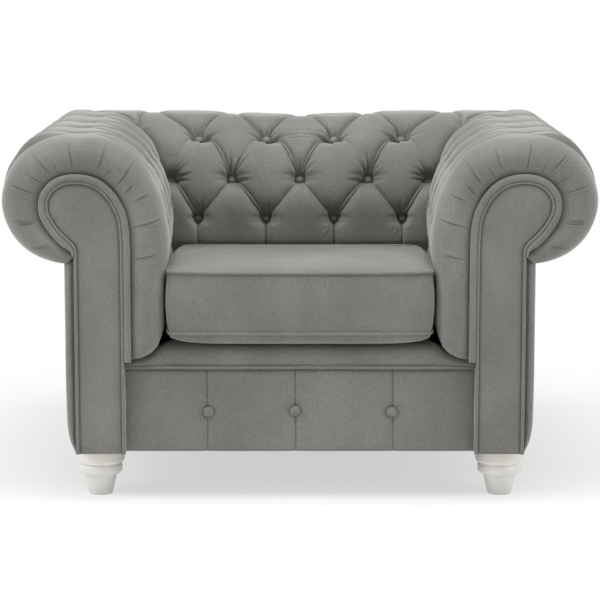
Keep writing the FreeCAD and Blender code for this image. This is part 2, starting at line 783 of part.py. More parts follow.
# Seat deck, lip and front border
def seat_base():
    """The felt on the springs, the deck pad on the felt and the padded lip in front of it."""
    width, x = "2 * Sizes.deck_half_width", "-Sizes.deck_half_width"
    lengths = (width, "Sizes.deck_back + Sizes.felt_front", "Sizes.felt_thick")
    corner = (x, "-Sizes.felt_front", "Sizes.spring_level + Sizes.felt_above_springs")
    keep(box_object("spring_felt", lengths, corner), "spring_felt")
    front = "Sizes.lip_back + 0.5"
    lengths = (width, f"Sizes.deck_back - ({front})", "Sizes.lip_top - Sizes.deck_bottom")
    keep(box_object("deck_pad", lengths, (x, front, "Sizes.deck_bottom")), "deck_pad")
    shape_part("front_lip", front_lip())


# Outline of the lip's falling ends, as (|X|, Z), between its outer edge and its level middle
LIP_ENDS = ((322, 272), (300, 280.5), (280, 288.5), (262, 297.5), (240, 302.5))


def front_lip():
    """The padded front edge: level in the middle, falling away under the arm pads, round along its front."""
    half, top, low = size("border_half_width"), size("lip_top"), size("border_top") + 6
    rise = ((half, low + 3),) + LIP_ENDS + ((200, top),)
    upper = [(-x, z) for x, z in rise] + [(x, z) for x, z in rise[::-1]]
    outline = [V(-half, 0, low)] + [V(x, 0, z) for x, z in upper] + [V(half, 0, low)]
    face = Part.Face(Part.makePolygon(outline + outline[:1]))
    front, back = size("border_face") + 2, size("lip_back")
    block = face.extrude(V(0, back - front, 0))
    block.translate(V(0, front, 0))
    corners = ((front, low), (front + 24, top + 1), (front - 1, top + 1), (front - 1, low))
    side = [V(-half, y, z) for y, z in corners]
    arc = Part.Arc(side[0], V(-half, front + 6.5, low + 26), side[1]).toShape()
    lines = [Part.LineSegment(a, b).toShape() for a, b in zip(side[1:], side[2:] + side[:1])]
    waste = Part.Face(Part.Wire([arc] + lines)).extrude(V(2 * half, 0, 0))
    rail_top = size("rail_top")
    notch = Part.makeBox(2 * half, 60, low + 12 - rail_top, V(-half, size("rail_front") + 22, rail_top))
    return block.cut(waste).cut(notch)


PLEAT_HALF_WIDTH, PLEAT_DEPTH = 1.2, 2.0
BUTTON_SEAT_DEPTH, BUTTON_SEAT_SPREAD = 2.5, 10.0
BORDER_PIPING_RADIUS = 3.0


def front_border():
    """The upright front panel with three stitched pleats, its piping and its three buttons."""
    half, low, top = size("border_half_width"), size("base_underside"), size("border_top")
    face, back, level = size("border_face"), size("rail_front"), size("front_button_level")
    button_radius = size("front_button_radius")
    places = (-size("front_button_offset"), size("front_button_middle"), size("front_button_offset"))
    panel = Part.makeBox(2 * half, back - face, top - low, V(-half, face, low))
    for x in places:
        left, right = V(x - PLEAT_HALF_WIDTH, face, low), V(x + PLEAT_HALF_WIDTH, face, low)
        groove = Part.makePolygon([left, right, V(x, face + PLEAT_DEPTH, low), left])
        panel = panel.cut(Part.Face(groove).extrude(V(0, 0, top - low)))
        wide = button_radius + BUTTON_SEAT_SPREAD
        seat = Part.makeCone(wide, button_radius, BUTTON_SEAT_DEPTH, V(x, face, level), V(0, 1, 0))
        panel = panel.cut(seat)
    shape_part("front_border", panel)
    radius, seat_y = BORDER_PIPING_RADIUS, face + BUTTON_SEAT_DEPTH
    tube = Part.makeCylinder(radius, 2 * half, V(-half, seat_y, top + radius), V(1, 0, 0))
    shape_part("front_border_piping", tube)
    buttons = [button(V(x, seat_y, level), V(0, -1, 0), button_radius) for x in places]
    shape_part("front_buttons", Part.Compound(buttons))


def button(place, direction, radius):
    """A covered button: a short drum with a domed face, standing on place and facing along direction."""
    height = size("button_height")
    drum = Part.makeCylinder(radius, height * 0.45, place, direction)
    dome_height = height * 0.55
    sphere_radius = (radius**2 + dome_height**2) / (2 * dome_height)
    centre = place + direction * (height - sphere_radius)
    slab = Part.makeCylinder(radius, height, place + direction * (height * 0.45), direction)
    return drum.fuse(Part.makeSphere(sphere_radius, centre).common(slab)).removeSplitter()


BUTTON_RISE = 1.6


def button_row(found, section, columns, place, way, lean=False):
    """Adds a row of buttons, each standing a little above the floor of its pit."""
    for column in columns:
        depth = size("tuft_depth") + (section.lean(column) if lean else 0)
        p, z = section.point(section.thick - depth + BUTTON_RISE)
        found.append(button(place(column, p, z), way, size("button_radius")))


def tuft_buttons():
    """Buttons of the arms and the back, each on the floor of its pit."""
    corner, top_corner = size("arm_corner_column"), size("arm_top_corner_column")
    odd = [corner - PITCH * (n + 0.5) for n in range(3)]
    even = [corner - PITCH * n for n in range(1, 4)]
    rows = ((ROW_LOW, odd), (ROW_MIDDLE, even), (ROW_HIGH, odd), (ROW_TOP, [top_corner] + even))
    for side, word in ((-1, "left"), (1, "right")):
        found = []
        for s, columns in rows:
            section = Section(s, 0.0, "tuft")
            way = V(side * section.direction[0], 0, section.direction[1])
            button_row(found, section, columns, lambda y, p, z: V(side * p, y, z), way, True)
        shape_part(f"arm_buttons_{word}", Part.Compound(found))
    odd = [PITCH * n for n in (-1.5, -0.5, 0.5, 1.5)]
    even = [PITCH * n for n in (-1, 0, 1)]
    top_corner = size("back_top_corner_column")
    top_row = [-top_corner] + even + [top_corner]
    found = []
    for s, columns in ((ROW_LOW, odd), (ROW_MIDDLE, even), (ROW_HIGH, odd), (ROW_TOP, top_row)):
        section = Section(s, 0.0, "tuft")
        way = V(0, section.direction[0], section.direction[1])
        button_row(found, section, columns, lambda x, p, z: V(x, p - MITRE, z), way)
    shape_part("back_buttons", Part.Compound(found))


# The loose seat cushion
def cushion_outline(half_x, front, back, corner, z, bulge=0.0):
    """A rectangle with round corners whose sides may bow outwards."""
    corner = min(corner, 0.8 * half_x, 0.4 * (back - front))
    x, y0, y1, q = half_x, front, back, corner * (1 - math.sqrt(0.5))
    points = [
        V(-x + corner, y0, z), V(0, y0 - bulge, z), V(x - corner, y0, z), V(x - q, y0 + q, z),
        V(x, y0 + corner, z), V(x + bulge, (y0 + y1) / 2, z), V(x, y1 - corner, z), V(x - q, y1 - q, z),
        V(x - corner, y1, z), V(0, y1 + bulge, z), V(-x + corner, y1, z), V(-x + q, y1 - q, z),
        V(-x, y1 - corner, z), V(-x - bulge, (y0 + y1) / 2, z), V(-x, y0 + corner, z), V(-x + q, y0 + q, z),
    ]
    ring = points + points[:1]
    return Part.Wire([arc_or_line(*ring[k:k + 3]) for k in range(0, 16, 2)])


PIPING_PROUD = 0.8
# (height share between seam and crown, inset from the seam's outline)
CROWN_SHARES = ((0.0, 0.0), (0.30, 9.0), (0.58, 30.0), (0.82, 75.0), (0.95, 135.0), (1.0, 200.0))


def cushion_solids(inset):
    """(bottom, middle, top) solids of the cushion, all inset by the same amount."""
    half = size("cushion_half_width") - inset
    front, back = size("cushion_front") + inset, size("cushion_back") - inset
    low, high = size("seam_low"), size("seam_high")
    crown_low, crown_high = size("crown_low") + inset, size("crown_high") - inset
    corner, bulge = size("cushion_corner"), size("cushion_bulge")

    def level(z, more):
        return cushion_outline(half - more, front + more, back - more, corner + more * 0.6, z)

    top = [level(high + (crown_high - high) * share, more) for share, more in CROWN_SHARES]
    bottom = [level(low - (low - crown_low) * share, more) for share, more in CROWN_SHARES[::-1]]
    middle = [level(low, 0)]
    for share in (0.25, 0.5, 0.75):
        grow = bulge * math.sin(math.pi * share)
        z = low + (high - low) * share
        middle.append(cushion_outline(half + grow, front - grow, back + grow, corner, z))
    middle.append(level(high, 0))
    return [Part.makeLoft(wires, True, True) for wires in (bottom, middle, top)]


def cushion():
    """The cushion's covers with their piping and zip, and its foam core."""
    outer, inner = cushion_solids(0), cushion_solids(size("cover_thick"))
    core = inner[0].fuse([inner[1], inner[2]]).removeSplitter()
    half, front, rear = size("cushion_half_width"), size("cushion_front"), size("cushion_back")
    proud, pipings = PIPING_PROUD, []
    for z in (size("seam_low"), size("seam_high")):
        ring = cushion_outline(half + proud, front - proud, rear + proud, size("cushion_corner"), z)
        start = ring.Vertexes[0].Point
        circle = Part.Wire(Part.Circle(start, V(1, 0, 0), size("cushion_piping_radius")).toShape())
        pipings.append(ring.makePipeShell([circle], True, False))
    length, level, wide = size("zip_half_length"), size("zip_level"), size("zip_tape_width")
    back = rear + size("cushion_bulge")
    tape = Part.makeBox(2 * length, size("zip_tape_thick"), wide, V(-length, back - 1.6, level - wide / 2))
    names = ("cushion_bottom_cover", "cushion_boxing", "cushion_top_cover")
    for name, shell, hollow in zip(names, outer, inner):
        solid = shell.cut(hollow)
        for tube in pipings:
            solid = solid.cut(tube)
        if name == "cushion_boxing":
            solid = solid.cut(tape)
        shape_part(name, solid)
    shape_part("cushion_core", core)
    shape_part("cushion_piping", Part.Compound(pipings))
    groove = Part.makeBox(2 * length - 12, 1.0, 7, V(-length + 6, back - 0.2, level - 3.5))
    shape_part("cushion_zip", tape.cut(groove))
    shape_part("zip_slider", zip_slider(length, back, level))


def zip_slider(length, back, level):
    """The zip's slider at its left stop, with its pull hanging down."""
    slider = Part.makeBox(12, 2.2, 6.4, V(-length + 8, back + 0.1, level - 3.2))
    pull = Part.makeBox(7, 1.2, 22, V(-length + 10.5, back + 1.4, level - 25))
    return slider.fuse(pull).removeSplitter()


# Turned feet with their plates and bolts
FOOT_TOP_RADIUS, FOOT_BORE_DEPTH = 47, 42
FOOT_PROFILE = (
    ("line", (0, 0), (21, 0)),
    ("arc", (21, 0), (22.8, 1.4), (23.6, 4)),
    ("line", (23.6, 4), (32, 40)),
    ("arc", (32, 40), (41.6, 45.5), (42.8, 53)),
    ("arc", (42.8, 53), (42.2, 58.5), (39.5, 62)),
    ("arc", (39.5, 62), (45.6, 65.8), (FOOT_TOP_RADIUS, 72)),
    ("line", (FOOT_TOP_RADIUS, 72), (FOOT_TOP_RADIUS, 95)),
)


def feet():
    """Four turned feet, each a profile turned about its own axis and bored from the top for its bolt."""
    bore, depth = size("foot_bolt_radius") + FIT_GAP, FOOT_BORE_DEPTH
    top = size("foot_height")
    for word_y, y in (("front", "Sizes.foot_front"), ("rear", "Sizes.foot_rear")):
        for word_x, x in (("left", "-Sizes.foot_side"), ("right", "Sizes.foot_side")):
            name = f"foot_{word_y}_{word_x}"
            body = doc.addObject("PartDesign::Body", name)
            sketch = body.newObject("Sketcher::SketchObject", name + "_profile")
            plane = [f for f in body.Origin.OriginFeatures if f.Role == "XZ_Plane"][0]
            sketch.AttachmentSupport = (plane, [""])
            sketch.MapMode = "FlatFace"
            corners = [(FOOT_TOP_RADIUS, top), (bore, top), (bore, top - depth), (0, top - depth), (0, 0)]
            closing = [("line", a, b) for a, b in zip(corners, corners[1:])]
            for kind, *points in list(FOOT_PROFILE) + closing:
                ends = [V(r, z, 0) for r, z in points]
                sketch.addGeometry(Part.LineSegment(*ends) if kind == "line" else Part.Arc(*ends), False)
            turned = body.newObject("PartDesign::Revolution", name + "_turned")
            turned.Profile = sketch
            turned.ReferenceAxis = (sketch, ["V_Axis"])
            turned.Angle = 360
            body.setExpression("Placement.Base.x", x)
            body.setExpression("Placement.Base.y", y)
            doc.recompute()
            body.Tip = turned
            keep(body, name)


# Side, front and rear edges of the cloth under the frame
DUST_COVER_EDGES = (430, -396, 297)


def foot_fittings():
    """Plates under the base, the bolts that hold the feet, and the cloth stapled under the frame."""
    plates, bolts, windows = [], [], []
    low, top = size("base_underside"), size("rail_bottom")
    radius, half = size("foot_bolt_radius"), size("foot_plate_side") / 2
    for side in (-1, 1):
        for y in (size("foot_front"), size("foot_rear")):
            x = side * size("foot_side")
            plate = Part.makeBox(2 * half, 2 * half, top - low, V(x - half, y - half, low))
            plates.append(plate.cut(Part.makeCylinder(radius + FIT_GAP, top - low, V(x, y, low))))
            start = V(x, y, low - size("foot_bolt_in_foot"))
            bolts.append(Part.makeCylinder(radius, size("foot_bolt_length"), start))
            room = half + 2
            windows.append(Part.makeBox(2 * room, 2 * room, 10, V(x - room, y - room, low - 2)))
    shape_part("foot_plates", Part.Compound(plates))
    shape_part("foot_bolts", Part.Compound(bolts))
    side_x, front, rear = DUST_COVER_EDGES
    cloth = Part.makeBox(2 * side_x, rear - front, size("dust_cover_thick"), V(-side_x, front, low + 1.2))
    shape_part("dust_cover", cloth.cut(windows))


pads()
skins()
boards()
facings()
outer_panels()
rails()
long_rails()
corner_blocks()
springs()
seat_base()
front_border()
tuft_buttons()
cushion()
feet()
foot_fittings()
doc.recompute()

os.makedirs("parts", exist_ok=True)
problems = []
for obj in doc.Objects:
    if "Invalid" in obj.State or "Error" in obj.State:
        problems.append(f"{obj.Name} is {obj.State}")
for part in sub_parts:
    if part.Shape.isNull() or not part.Shape.isValid():
        problems.append(f"{part.Label} has no valid shape")
    elif not part.Shape.Solids:
        problems.append(f"{part.Label} has no solid")
if problems:
    raise SystemExit("\n".join(problems))
for part in sub_parts:
    part.Shape.exportStep(f"parts/{part.Label}.step")
print(len(sub_parts), "sub-parts written")
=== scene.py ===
import json
import math

import bpy
import numpy as np
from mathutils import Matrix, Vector

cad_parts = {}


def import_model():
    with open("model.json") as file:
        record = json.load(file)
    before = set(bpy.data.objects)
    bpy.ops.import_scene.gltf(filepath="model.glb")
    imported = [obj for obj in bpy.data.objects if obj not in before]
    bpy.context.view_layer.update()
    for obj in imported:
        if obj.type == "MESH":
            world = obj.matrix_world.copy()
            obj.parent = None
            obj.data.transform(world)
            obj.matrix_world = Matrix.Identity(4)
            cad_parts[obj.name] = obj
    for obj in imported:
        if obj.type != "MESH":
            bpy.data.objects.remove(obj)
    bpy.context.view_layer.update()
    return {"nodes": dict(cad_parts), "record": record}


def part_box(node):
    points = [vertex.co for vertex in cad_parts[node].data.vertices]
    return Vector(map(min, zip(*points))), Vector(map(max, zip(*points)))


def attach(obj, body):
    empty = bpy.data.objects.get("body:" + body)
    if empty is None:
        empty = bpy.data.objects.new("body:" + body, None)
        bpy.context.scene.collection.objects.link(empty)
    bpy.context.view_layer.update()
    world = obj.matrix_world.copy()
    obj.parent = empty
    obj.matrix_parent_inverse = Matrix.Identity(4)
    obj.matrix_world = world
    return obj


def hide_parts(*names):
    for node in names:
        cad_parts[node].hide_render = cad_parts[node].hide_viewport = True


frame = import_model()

# Lengths in this script are in millimetres until a mesh is made, in the frame's own axes:
# X to the right as seen from the front, Y from front to back, Z up.
MM = 0.001
CHAIR = "chair_frame"
CUSHION = "seat_cushion"


# Meshes
def linked(name, data):
    piece = bpy.data.objects.new(name, data)
    bpy.context.collection.objects.link(piece)
    return piece


def plain_object(name, points, faces):
    """A bare mesh object, its points as they are given."""
    mesh = bpy.data.meshes.new(name)
    mesh.from_pydata(points, [], faces)
    return linked(name, mesh)


def mesh_object(name, points, faces, slot, body=CHAIR):
    """A mesh piece from points in millimetres, riding on a body."""
    piece = plain_object(name, (np.asarray(points, float) * MM).tolist(), faces)
    piece.data.validate()
    piece.data.shade_smooth()
    piece.data.materials.append(MATERIALS[slot])
    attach(piece, body)
    return piece


def grid_faces(rows, columns, wrap_rows=False, wrap_columns=False, flip=False):
    """Quads of a grid of points numbered row by row."""
    faces = []
    for r in range(rows if wrap_rows else rows - 1):
        for c in range(columns if wrap_columns else columns - 1):
            r1, c1 = (r + 1) % rows, (c + 1) % columns
            quad = (r * columns + c, r * columns + c1, r1 * columns + c1, r1 * columns + c)
            faces.append(quad[::-1] if flip else quad)
    return faces


def grid_object(name, grid, slot, body=CHAIR, **wraps):
    rows, columns = grid.shape[:2]
    return mesh_object(name, grid.reshape(-1, 3), grid_faces(rows, columns, **wraps), slot, body)


class Parts:
    """Points and faces of several shells that make one piece."""

    def __init__(self):
        self.points, self.faces = [], []

    def add(self, points, faces):
        start = len(self.points)
        self.points += [tuple(p) for p in points]
        self.faces += [tuple(v + start for v in face) for face in faces]

    def add_grid(self, grid, **wraps):
        rows, columns = grid.shape[:2]
        self.add(grid.reshape(-1, 3), grid_faces(rows, columns, **wraps))

    def build(self, name, slot, body=CHAIR):
        return mesh_object(name, self.points, self.faces, slot, body)


def unit(vectors):
    vectors = np.asarray(vectors, float)
    return vectors / np.maximum(np.linalg.norm(vectors, axis=-1, keepdims=True), 1e-9)


def tangents(path, closed=False):
    path = np.asarray(path, float)
    if closed:
        return unit(np.roll(path, -1, 0) - np.roll(path, 1, 0))
    return unit(np.gradient(path, axis=0))


def tube(path, radius, side, closed=False, rings=14):
    """A grid round a path. side is a direction across the path."""
    path = np.asarray(path, float)
    along = tangents(path, closed)
    across = unit(np.broadcast_to(side, path.shape) - along * np.sum(along * side, axis=1, keepdims=True))
    other = np.cross(along, across)
    angle = np.linspace(0, 2 * math.pi, rings, endpoint=False)[None, :, None]
    return path[:, None] + radius * (np.cos(angle) * across[:, None] + np.sin(angle) * other[:, None])


def smooth_step(x):
    """0 up to x = 0, 1 from x = 1, and a smooth rise between them."""
    x = np.clip(x, 0, 1)
    return x * x * (3 - 2 * x)


def between(x, start, rise, end, fall):
    """0 outside start and end and 1 well inside them; rise and fall are the lengths of its two slopes."""
    return smooth_step((x - start) / rise) * smooth_step((end - x) / fall)


def bell(x):
    return np.exp(-(x**2))


def groove(off, width, ridge, shift, ridge_width):
    """Depth across a fold in cloth: a groove, with a low ridge of pushed-up cloth beside it."""
    return bell(off / width) - ridge * bell((off - shift) / ridge_width)


def lengths_along(points):
    """Distance of each point from the first one, along the line through all of them."""
    return np.concatenate([[0], np.cumsum(np.linalg.norm(np.diff(points, axis=0), axis=1))])


def resampled(points, step):
    """The same line with evenly spaced points."""
    points = np.asarray(points, float)
    lengths = lengths_along(points)
    places = np.linspace(0, lengths[-1], max(2, int(round(lengths[-1] / step))))
    return np.stack([np.interp(places, lengths, points[:, k]) for k in range(points.shape[1])], axis=1)


# Materials
def new_material(name, color, roughness):
    material = bpy.data.materials.new(name)
    material.use_nodes = True
    shader = material.node_tree.nodes["Principled BSDF"]
    shader.inputs["Base Color"].default_value = (*color, 1)
    shader.inputs["Roughness"].default_value = roughness
    return material, material.node_tree, shader


def noise(tree, scale, detail=4.0, roughness=0.55, stretch=(1, 1, 1)):
    """A noise texture in object space; scale counts features per metre."""
    coordinates = tree.nodes.new("ShaderNodeTexCoord")
    mapping = tree.nodes.new("ShaderNodeMapping")
    mapping.inputs["Scale"].default_value = stretch
    texture = tree.nodes.new("ShaderNodeTexNoise")
    texture.inputs["Scale"].default_value = scale
    texture.inputs["Detail"].default_value = detail
    texture.inputs["Roughness"].default_value = roughness
    tree.links.new(coordinates.outputs["Object"], mapping.inputs["Vector"])
    tree.links.new(mapping.outputs["Vector"], texture.inputs["Vector"])
    return texture.outputs["Fac"]


def ramp(tree, value, low, high, start=0.3, end=0.7):
    node = tree.nodes.new("ShaderNodeValToRGB")
    node.color_ramp.elements[0].position = start
    node.color_ramp.elements[0].color = (*low, 1)
    node.color_ramp.elements[1].position = end
    node.color_ramp.elements[1].color = (*high, 1)
    tree.links.new(value, node.inputs["Fac"])
    return node.outputs["Color"]


def multiplied(tree, first, second):
    node = tree.nodes.new("ShaderNodeMix")
    node.data_type = "RGBA"
    node.blend_type = "MULTIPLY"
    node.inputs["Factor"].default_value = 1.0
    tree.links.new(first, node.inputs[6])
    tree.links.new(second, node.inputs[7])
    return node.outputs[2]


def bump(tree, shader, heights):
    """Chains bumps: heights is a list of (value, distance in metres, strength)."""
    normal = None
    for value, distance, strength in heights:
        node = tree.nodes.new("ShaderNodeBump")
        node.inputs["Distance"].default_value = distance
        node.inputs["Strength"].default_value = strength
        tree.links.new(value, node.inputs["Height"])
        if normal:
            tree.links.new(normal, node.inputs["Normal"])
        normal = node.outputs["Normal"]
    tree.links.new(normal, shader.inputs["Normal"])


def scaled(color, factor):
    return tuple(c * factor for c in color)


VELVET = (0.200, 0.195, 0.182)


def velvet(name, color=VELVET, sheen=0.6, patches=0.10):
    """Short pile: brushed mottling, strokes, a fine grain, and a sheen that lifts the edges of each form."""
    material, tree, shader = new_material(name, color, 0.92)
    brushed = noise(tree, 9, 3.0, 0.5, (1, 1, 0.6))
    mottled = ramp(tree, brushed, scaled(color, 1 - patches), scaled(color, 1 + patches), 0.35, 0.65)
    stroked = ramp(tree, noise(tree, 240, 4.0, 0.65), (0.90,) * 3, (1.10,) * 3, 0.36, 0.64)
    pile = noise(tree, 900, 2.0, 0.7)
    flecked = ramp(tree, pile, (0.78,) * 3, (1.18,) * 3, 0.3, 0.7)
    worked = multiplied(tree, mottled, stroked)
    tree.links.new(multiplied(tree, worked, flecked), shader.inputs["Base Color"])
    shader.inputs["Specular IOR Level"].default_value = 0.12
    shader.inputs["Sheen Weight"].default_value = sheen
    shader.inputs["Sheen Roughness"].default_value = 0.42
    shader.inputs["Sheen Tint"].default_value = (1.0, 0.985, 0.95, 1)
    padding, strokes = noise(tree, 60, 3.0), noise(tree, 260, 3.0, 0.6)
    bump(tree, shader, [(padding, 0.0014, 0.3), (strokes, 0.0005, 0.4), (pile, 0.0003, 0.5)])
    return material


def painted_wood(name):
    color = (0.80, 0.785, 0.745)
    material, tree, shader = new_material(name, color, 0.42)
    worn = noise(tree, 35, 4.0, 0.6)
    tree.links.new(ramp(tree, worn, scaled(color, 0.94), scaled(color, 1.03)), shader.inputs["Base Color"])
    shader.inputs["Coat Weight"].default_value = 0.12
    shader.inputs["Coat Roughness"].default_value = 0.3
    bump(tree, shader, [(noise(tree, 140, 3.0, 0.6, (1, 1, 0.15)), 0.0006, 0.25)])
    return material


def sawn_wood(name, color):
    material, tree, shader = new_material(name, color, 0.75)
    grain = noise(tree, 40, 6.0, 0.65, (1, 1, 0.12))
    tree.links.new(ramp(tree, grain, scaled(color, 0.7), scaled(color, 1.1)), shader.inputs["Base Color"])
    bump(tree, shader, [(grain, 0.0008, 0.4)])
    return material


def cloth(name, color, weave_scale):
    """Plain woven or felted cloth."""
    material, tree, shader = new_material(name, color, 0.9)
    fibres = noise(tree, weave_scale, 4.0, 0.7)
    tree.links.new(ramp(tree, fibres, scaled(color, 0.78), scaled(color, 1.15)), shader.inputs["Base Color"])
    shader.inputs["Sheen Weight"].default_value = 0.15
    bump(tree, shader, [(fibres, 0.0004, 0.5)])
    return material


def metal(name, color, roughness):
    material, tree, shader = new_material(name, color, roughness)
    shader.inputs["Metallic"].default_value = 1.0
    drawn = noise(tree, 300, 3.0, 0.6, (1, 0.1, 1))
    bump(tree, shader, [(drawn, 0.0001, 0.3)])
    return material


def plastic(name, color):
    material, tree, shader = new_material(name, color, 0.5)
    bump(tree, shader, [(noise(tree, 500), 0.0001, 0.2)])
    return material


MATERIALS = {
    "velvet": velvet("velvet"),
    "velvet_piping": velvet("velvet_piping", scaled(VELVET, 0.98), 0.5, 0.05),
    "velvet_button": velvet("velvet_button", VELVET, 0.6, 0.05),
    "foot_paint": painted_wood("foot_paint"),
    "frame_wood": sawn_wood("frame_wood", (0.62, 0.47, 0.30)),
    "fibreboard": sawn_wood("fibreboard", (0.42, 0.30, 0.19)),
    "foam": cloth("foam", (0.86, 0.83, 0.74), 700),
    "deck_cloth": cloth("deck_cloth", (0.20, 0.197, 0.19), 1200),
    "felt": cloth("felt", (0.30, 0.29, 0.27), 500),
    "dust_cloth": cloth("dust_cloth", (0.03, 0.03, 0.03), 1500),
    "zip_tape": cloth("zip_tape", (0.16, 0.157, 0.15), 1800),
    "zip_metal": metal("zip_metal", (0.20, 0.20, 0.20), 0.4),
    "steel": metal("steel", (0.55, 0.55, 0.56), 0.35),
    "clip_plastic": plastic("clip_plastic", (0.85, 0.85, 0.83)),
}


# The scroll profile shared by arms and back, as (p, Z): p is |X| on an arm and Y + MITRE on the back
MITRE = 131.5
PITCH = 146.0
WALL_OUTER, WALL_BASE = (532.0, 500.0, 280.0), (532.0, 500.0, 209.0)
SHOULDER_OUTER, SHOULDER_BASE = (405.5, 573.0, 134.0), (408.2, 571.5, 66.0)
ROLL_OUTER, ROLL_BASE = (449.0, 585.0, 122.5), (436.5, 575.5, 62.0)
SHOULDER_START, NECK_START = math.radians(30), math.radians(150)
NECK_BASE = (440.0, 491.4)
LENGTH_WALL = WALL_OUTER[2] * SHOULDER_START
LENGTH_SHOULDER = SHOULDER_OUTER[2] * (math.pi / 2 - SHOULDER_START)
LENGTH_TOP = ROLL_OUTER[0] - SHOULDER_OUTER[0]
ROLL_FROM = LENGTH_WALL + LENGTH_SHOULDER + LENGTH_TOP
END_OF_PAD = ROLL_FROM + ROLL_OUTER[2] * math.pi
POST_SIDE = 323.0
# (Z, thickness) of the pads on their straight walls; the back's is full from the cushion's top upwards
WALL_FOOT = ((280, 3), (283, 22), (290, 38), (300, 48), (318, 55), (340, 58))
WALL_LEVELS = (*WALL_FOOT, (440, 60), (465, 69), (487, 71))
BACK_WALL_LEVELS = (*WALL_FOOT, (418, 60), (432, 66), (442, 70), (452, 71))


def on_wall(circle, angle):
    """The point of a circle (p, Z, radius) at an angle up from its inner side."""
    return np.array((circle[0] - circle[2] * math.cos(angle), circle[1] + circle[2] * math.sin(angle)))


def on_roll(circle, angle):
    """The point of a circle (p, Z, radius) at an angle outwards from its top."""
    return np.array((circle[0] + circle[2] * math.sin(angle), circle[1] + circle[2] * math.cos(angle)))


def profile(s, wall_levels):
    """(base point, outer point) of the pad's envelope, at arc length s above the wall's straight part."""
    if s <= 0:
        levels, thicknesses = zip(*wall_levels)
        base = np.array((POST_SIDE, WALL_OUTER[1] + s))
        return base, base - np.array((np.interp(base[1], levels, thicknesses), 0))
    if s <= LENGTH_WALL:
        angle = s / WALL_OUTER[2]
        return on_wall(WALL_BASE, angle), on_wall(WALL_OUTER, angle)
    s -= LENGTH_WALL
    if s <= LENGTH_SHOULDER:
        angle = SHOULDER_START + s / SHOULDER_OUTER[2]
        return on_wall(SHOULDER_BASE, angle), on_wall(SHOULDER_OUTER, angle)
    s -= LENGTH_SHOULDER
    if s <= LENGTH_TOP:
        base_p = SHOULDER_BASE[0] + (ROLL_BASE[0] - SHOULDER_BASE[0]) * s / LENGTH_TOP
        base = np.array((base_p, SHOULDER_BASE[1] + SHOULDER_BASE[2]))
        return base, np.array((SHOULDER_OUTER[0] + s, SHOULDER_OUTER[1] + SHOULDER_OUTER[2]))
    angle = (s - LENGTH_TOP) / ROLL_OUTER[2]
    outer = on_roll(ROLL_OUTER, angle)
    if angle <= NECK_START:
        return on_roll(ROLL_BASE, angle * 0.9), outer
    share = min(1.0, (angle - NECK_START) / (math.pi - NECK_START))
    return on_roll(ROLL_BASE, NECK_START * 0.9) * (1 - share) + np.array(NECK_BASE) * share, outer


# Button rows by arc length. Low and high rows share their columns; middle and top rows lie half a pitch over.
ROW_LOW, ROW_MIDDLE, ROW_HIGH, ROW_TOP = -13.0, 80.0, 194.0, 352.0
# The upper pit of the corners, where the mitre's crease turns into the channel beside it
CORNER_PIT = ROW_HIGH + 8
PIT_DEPTH, PIT_HALF_WIDTH = 37.0, 9.0
# Arc lengths where the mesh's rows begin, and where its closely spaced rows begin and end
FIRST_ROW, TUFTS_FROM, TUFTS_TO = -220.0, -60.0, 400.0
CREASE_GAP = 0.9
# Depths of the pleats, of the mitre's crease low down, and of its seam over the roll
PLEAT_DEPTH, MITRE_DEPTH, TOP_SEAM_DEPTH = 15.0, 15.0, 7.0
# Arc lengths at which the lean of the arms' inner side starts, is full, starts to fade and is gone
LEAN_LEVELS = (-120.0, -45.0, 150.0, 290.0)
LEAN = 19.0


def pit_distance(distance):
    """Distance past the flat floor of a pit."""
    return max(0.0, abs(distance) - 7.0)


def crown_depth(distance):
    """Depth of a pillow along its own middle line, that far from the button it starts at."""
    return PIT_DEPTH * math.exp(-((pit_distance(distance) / 20.0) ** 1.25))


def row_spacing(from_s, to_s, step):
    count = max(2, int(round((to_s - from_s) / step)) + 1)
    return list(np.linspace(from_s, to_s, count)[:-1])


def row_places(roll_step):
    """Arc lengths of the mesh's rows: close together where there are tufts."""
    places = row_spacing(FIRST_ROW, TUFTS_FROM, 5.0)
    stops = (TUFTS_FROM, ROW_LOW, ROW_MIDDLE, ROW_HIGH, ROW_TOP, TUFTS_TO)
    for a, b in zip(stops, stops[1:]):
        places += row_spacing(a, b, 2.5)
    return places + row_spacing(TUFTS_TO, END_OF_PAD, roll_step) + [END_OF_PAD]


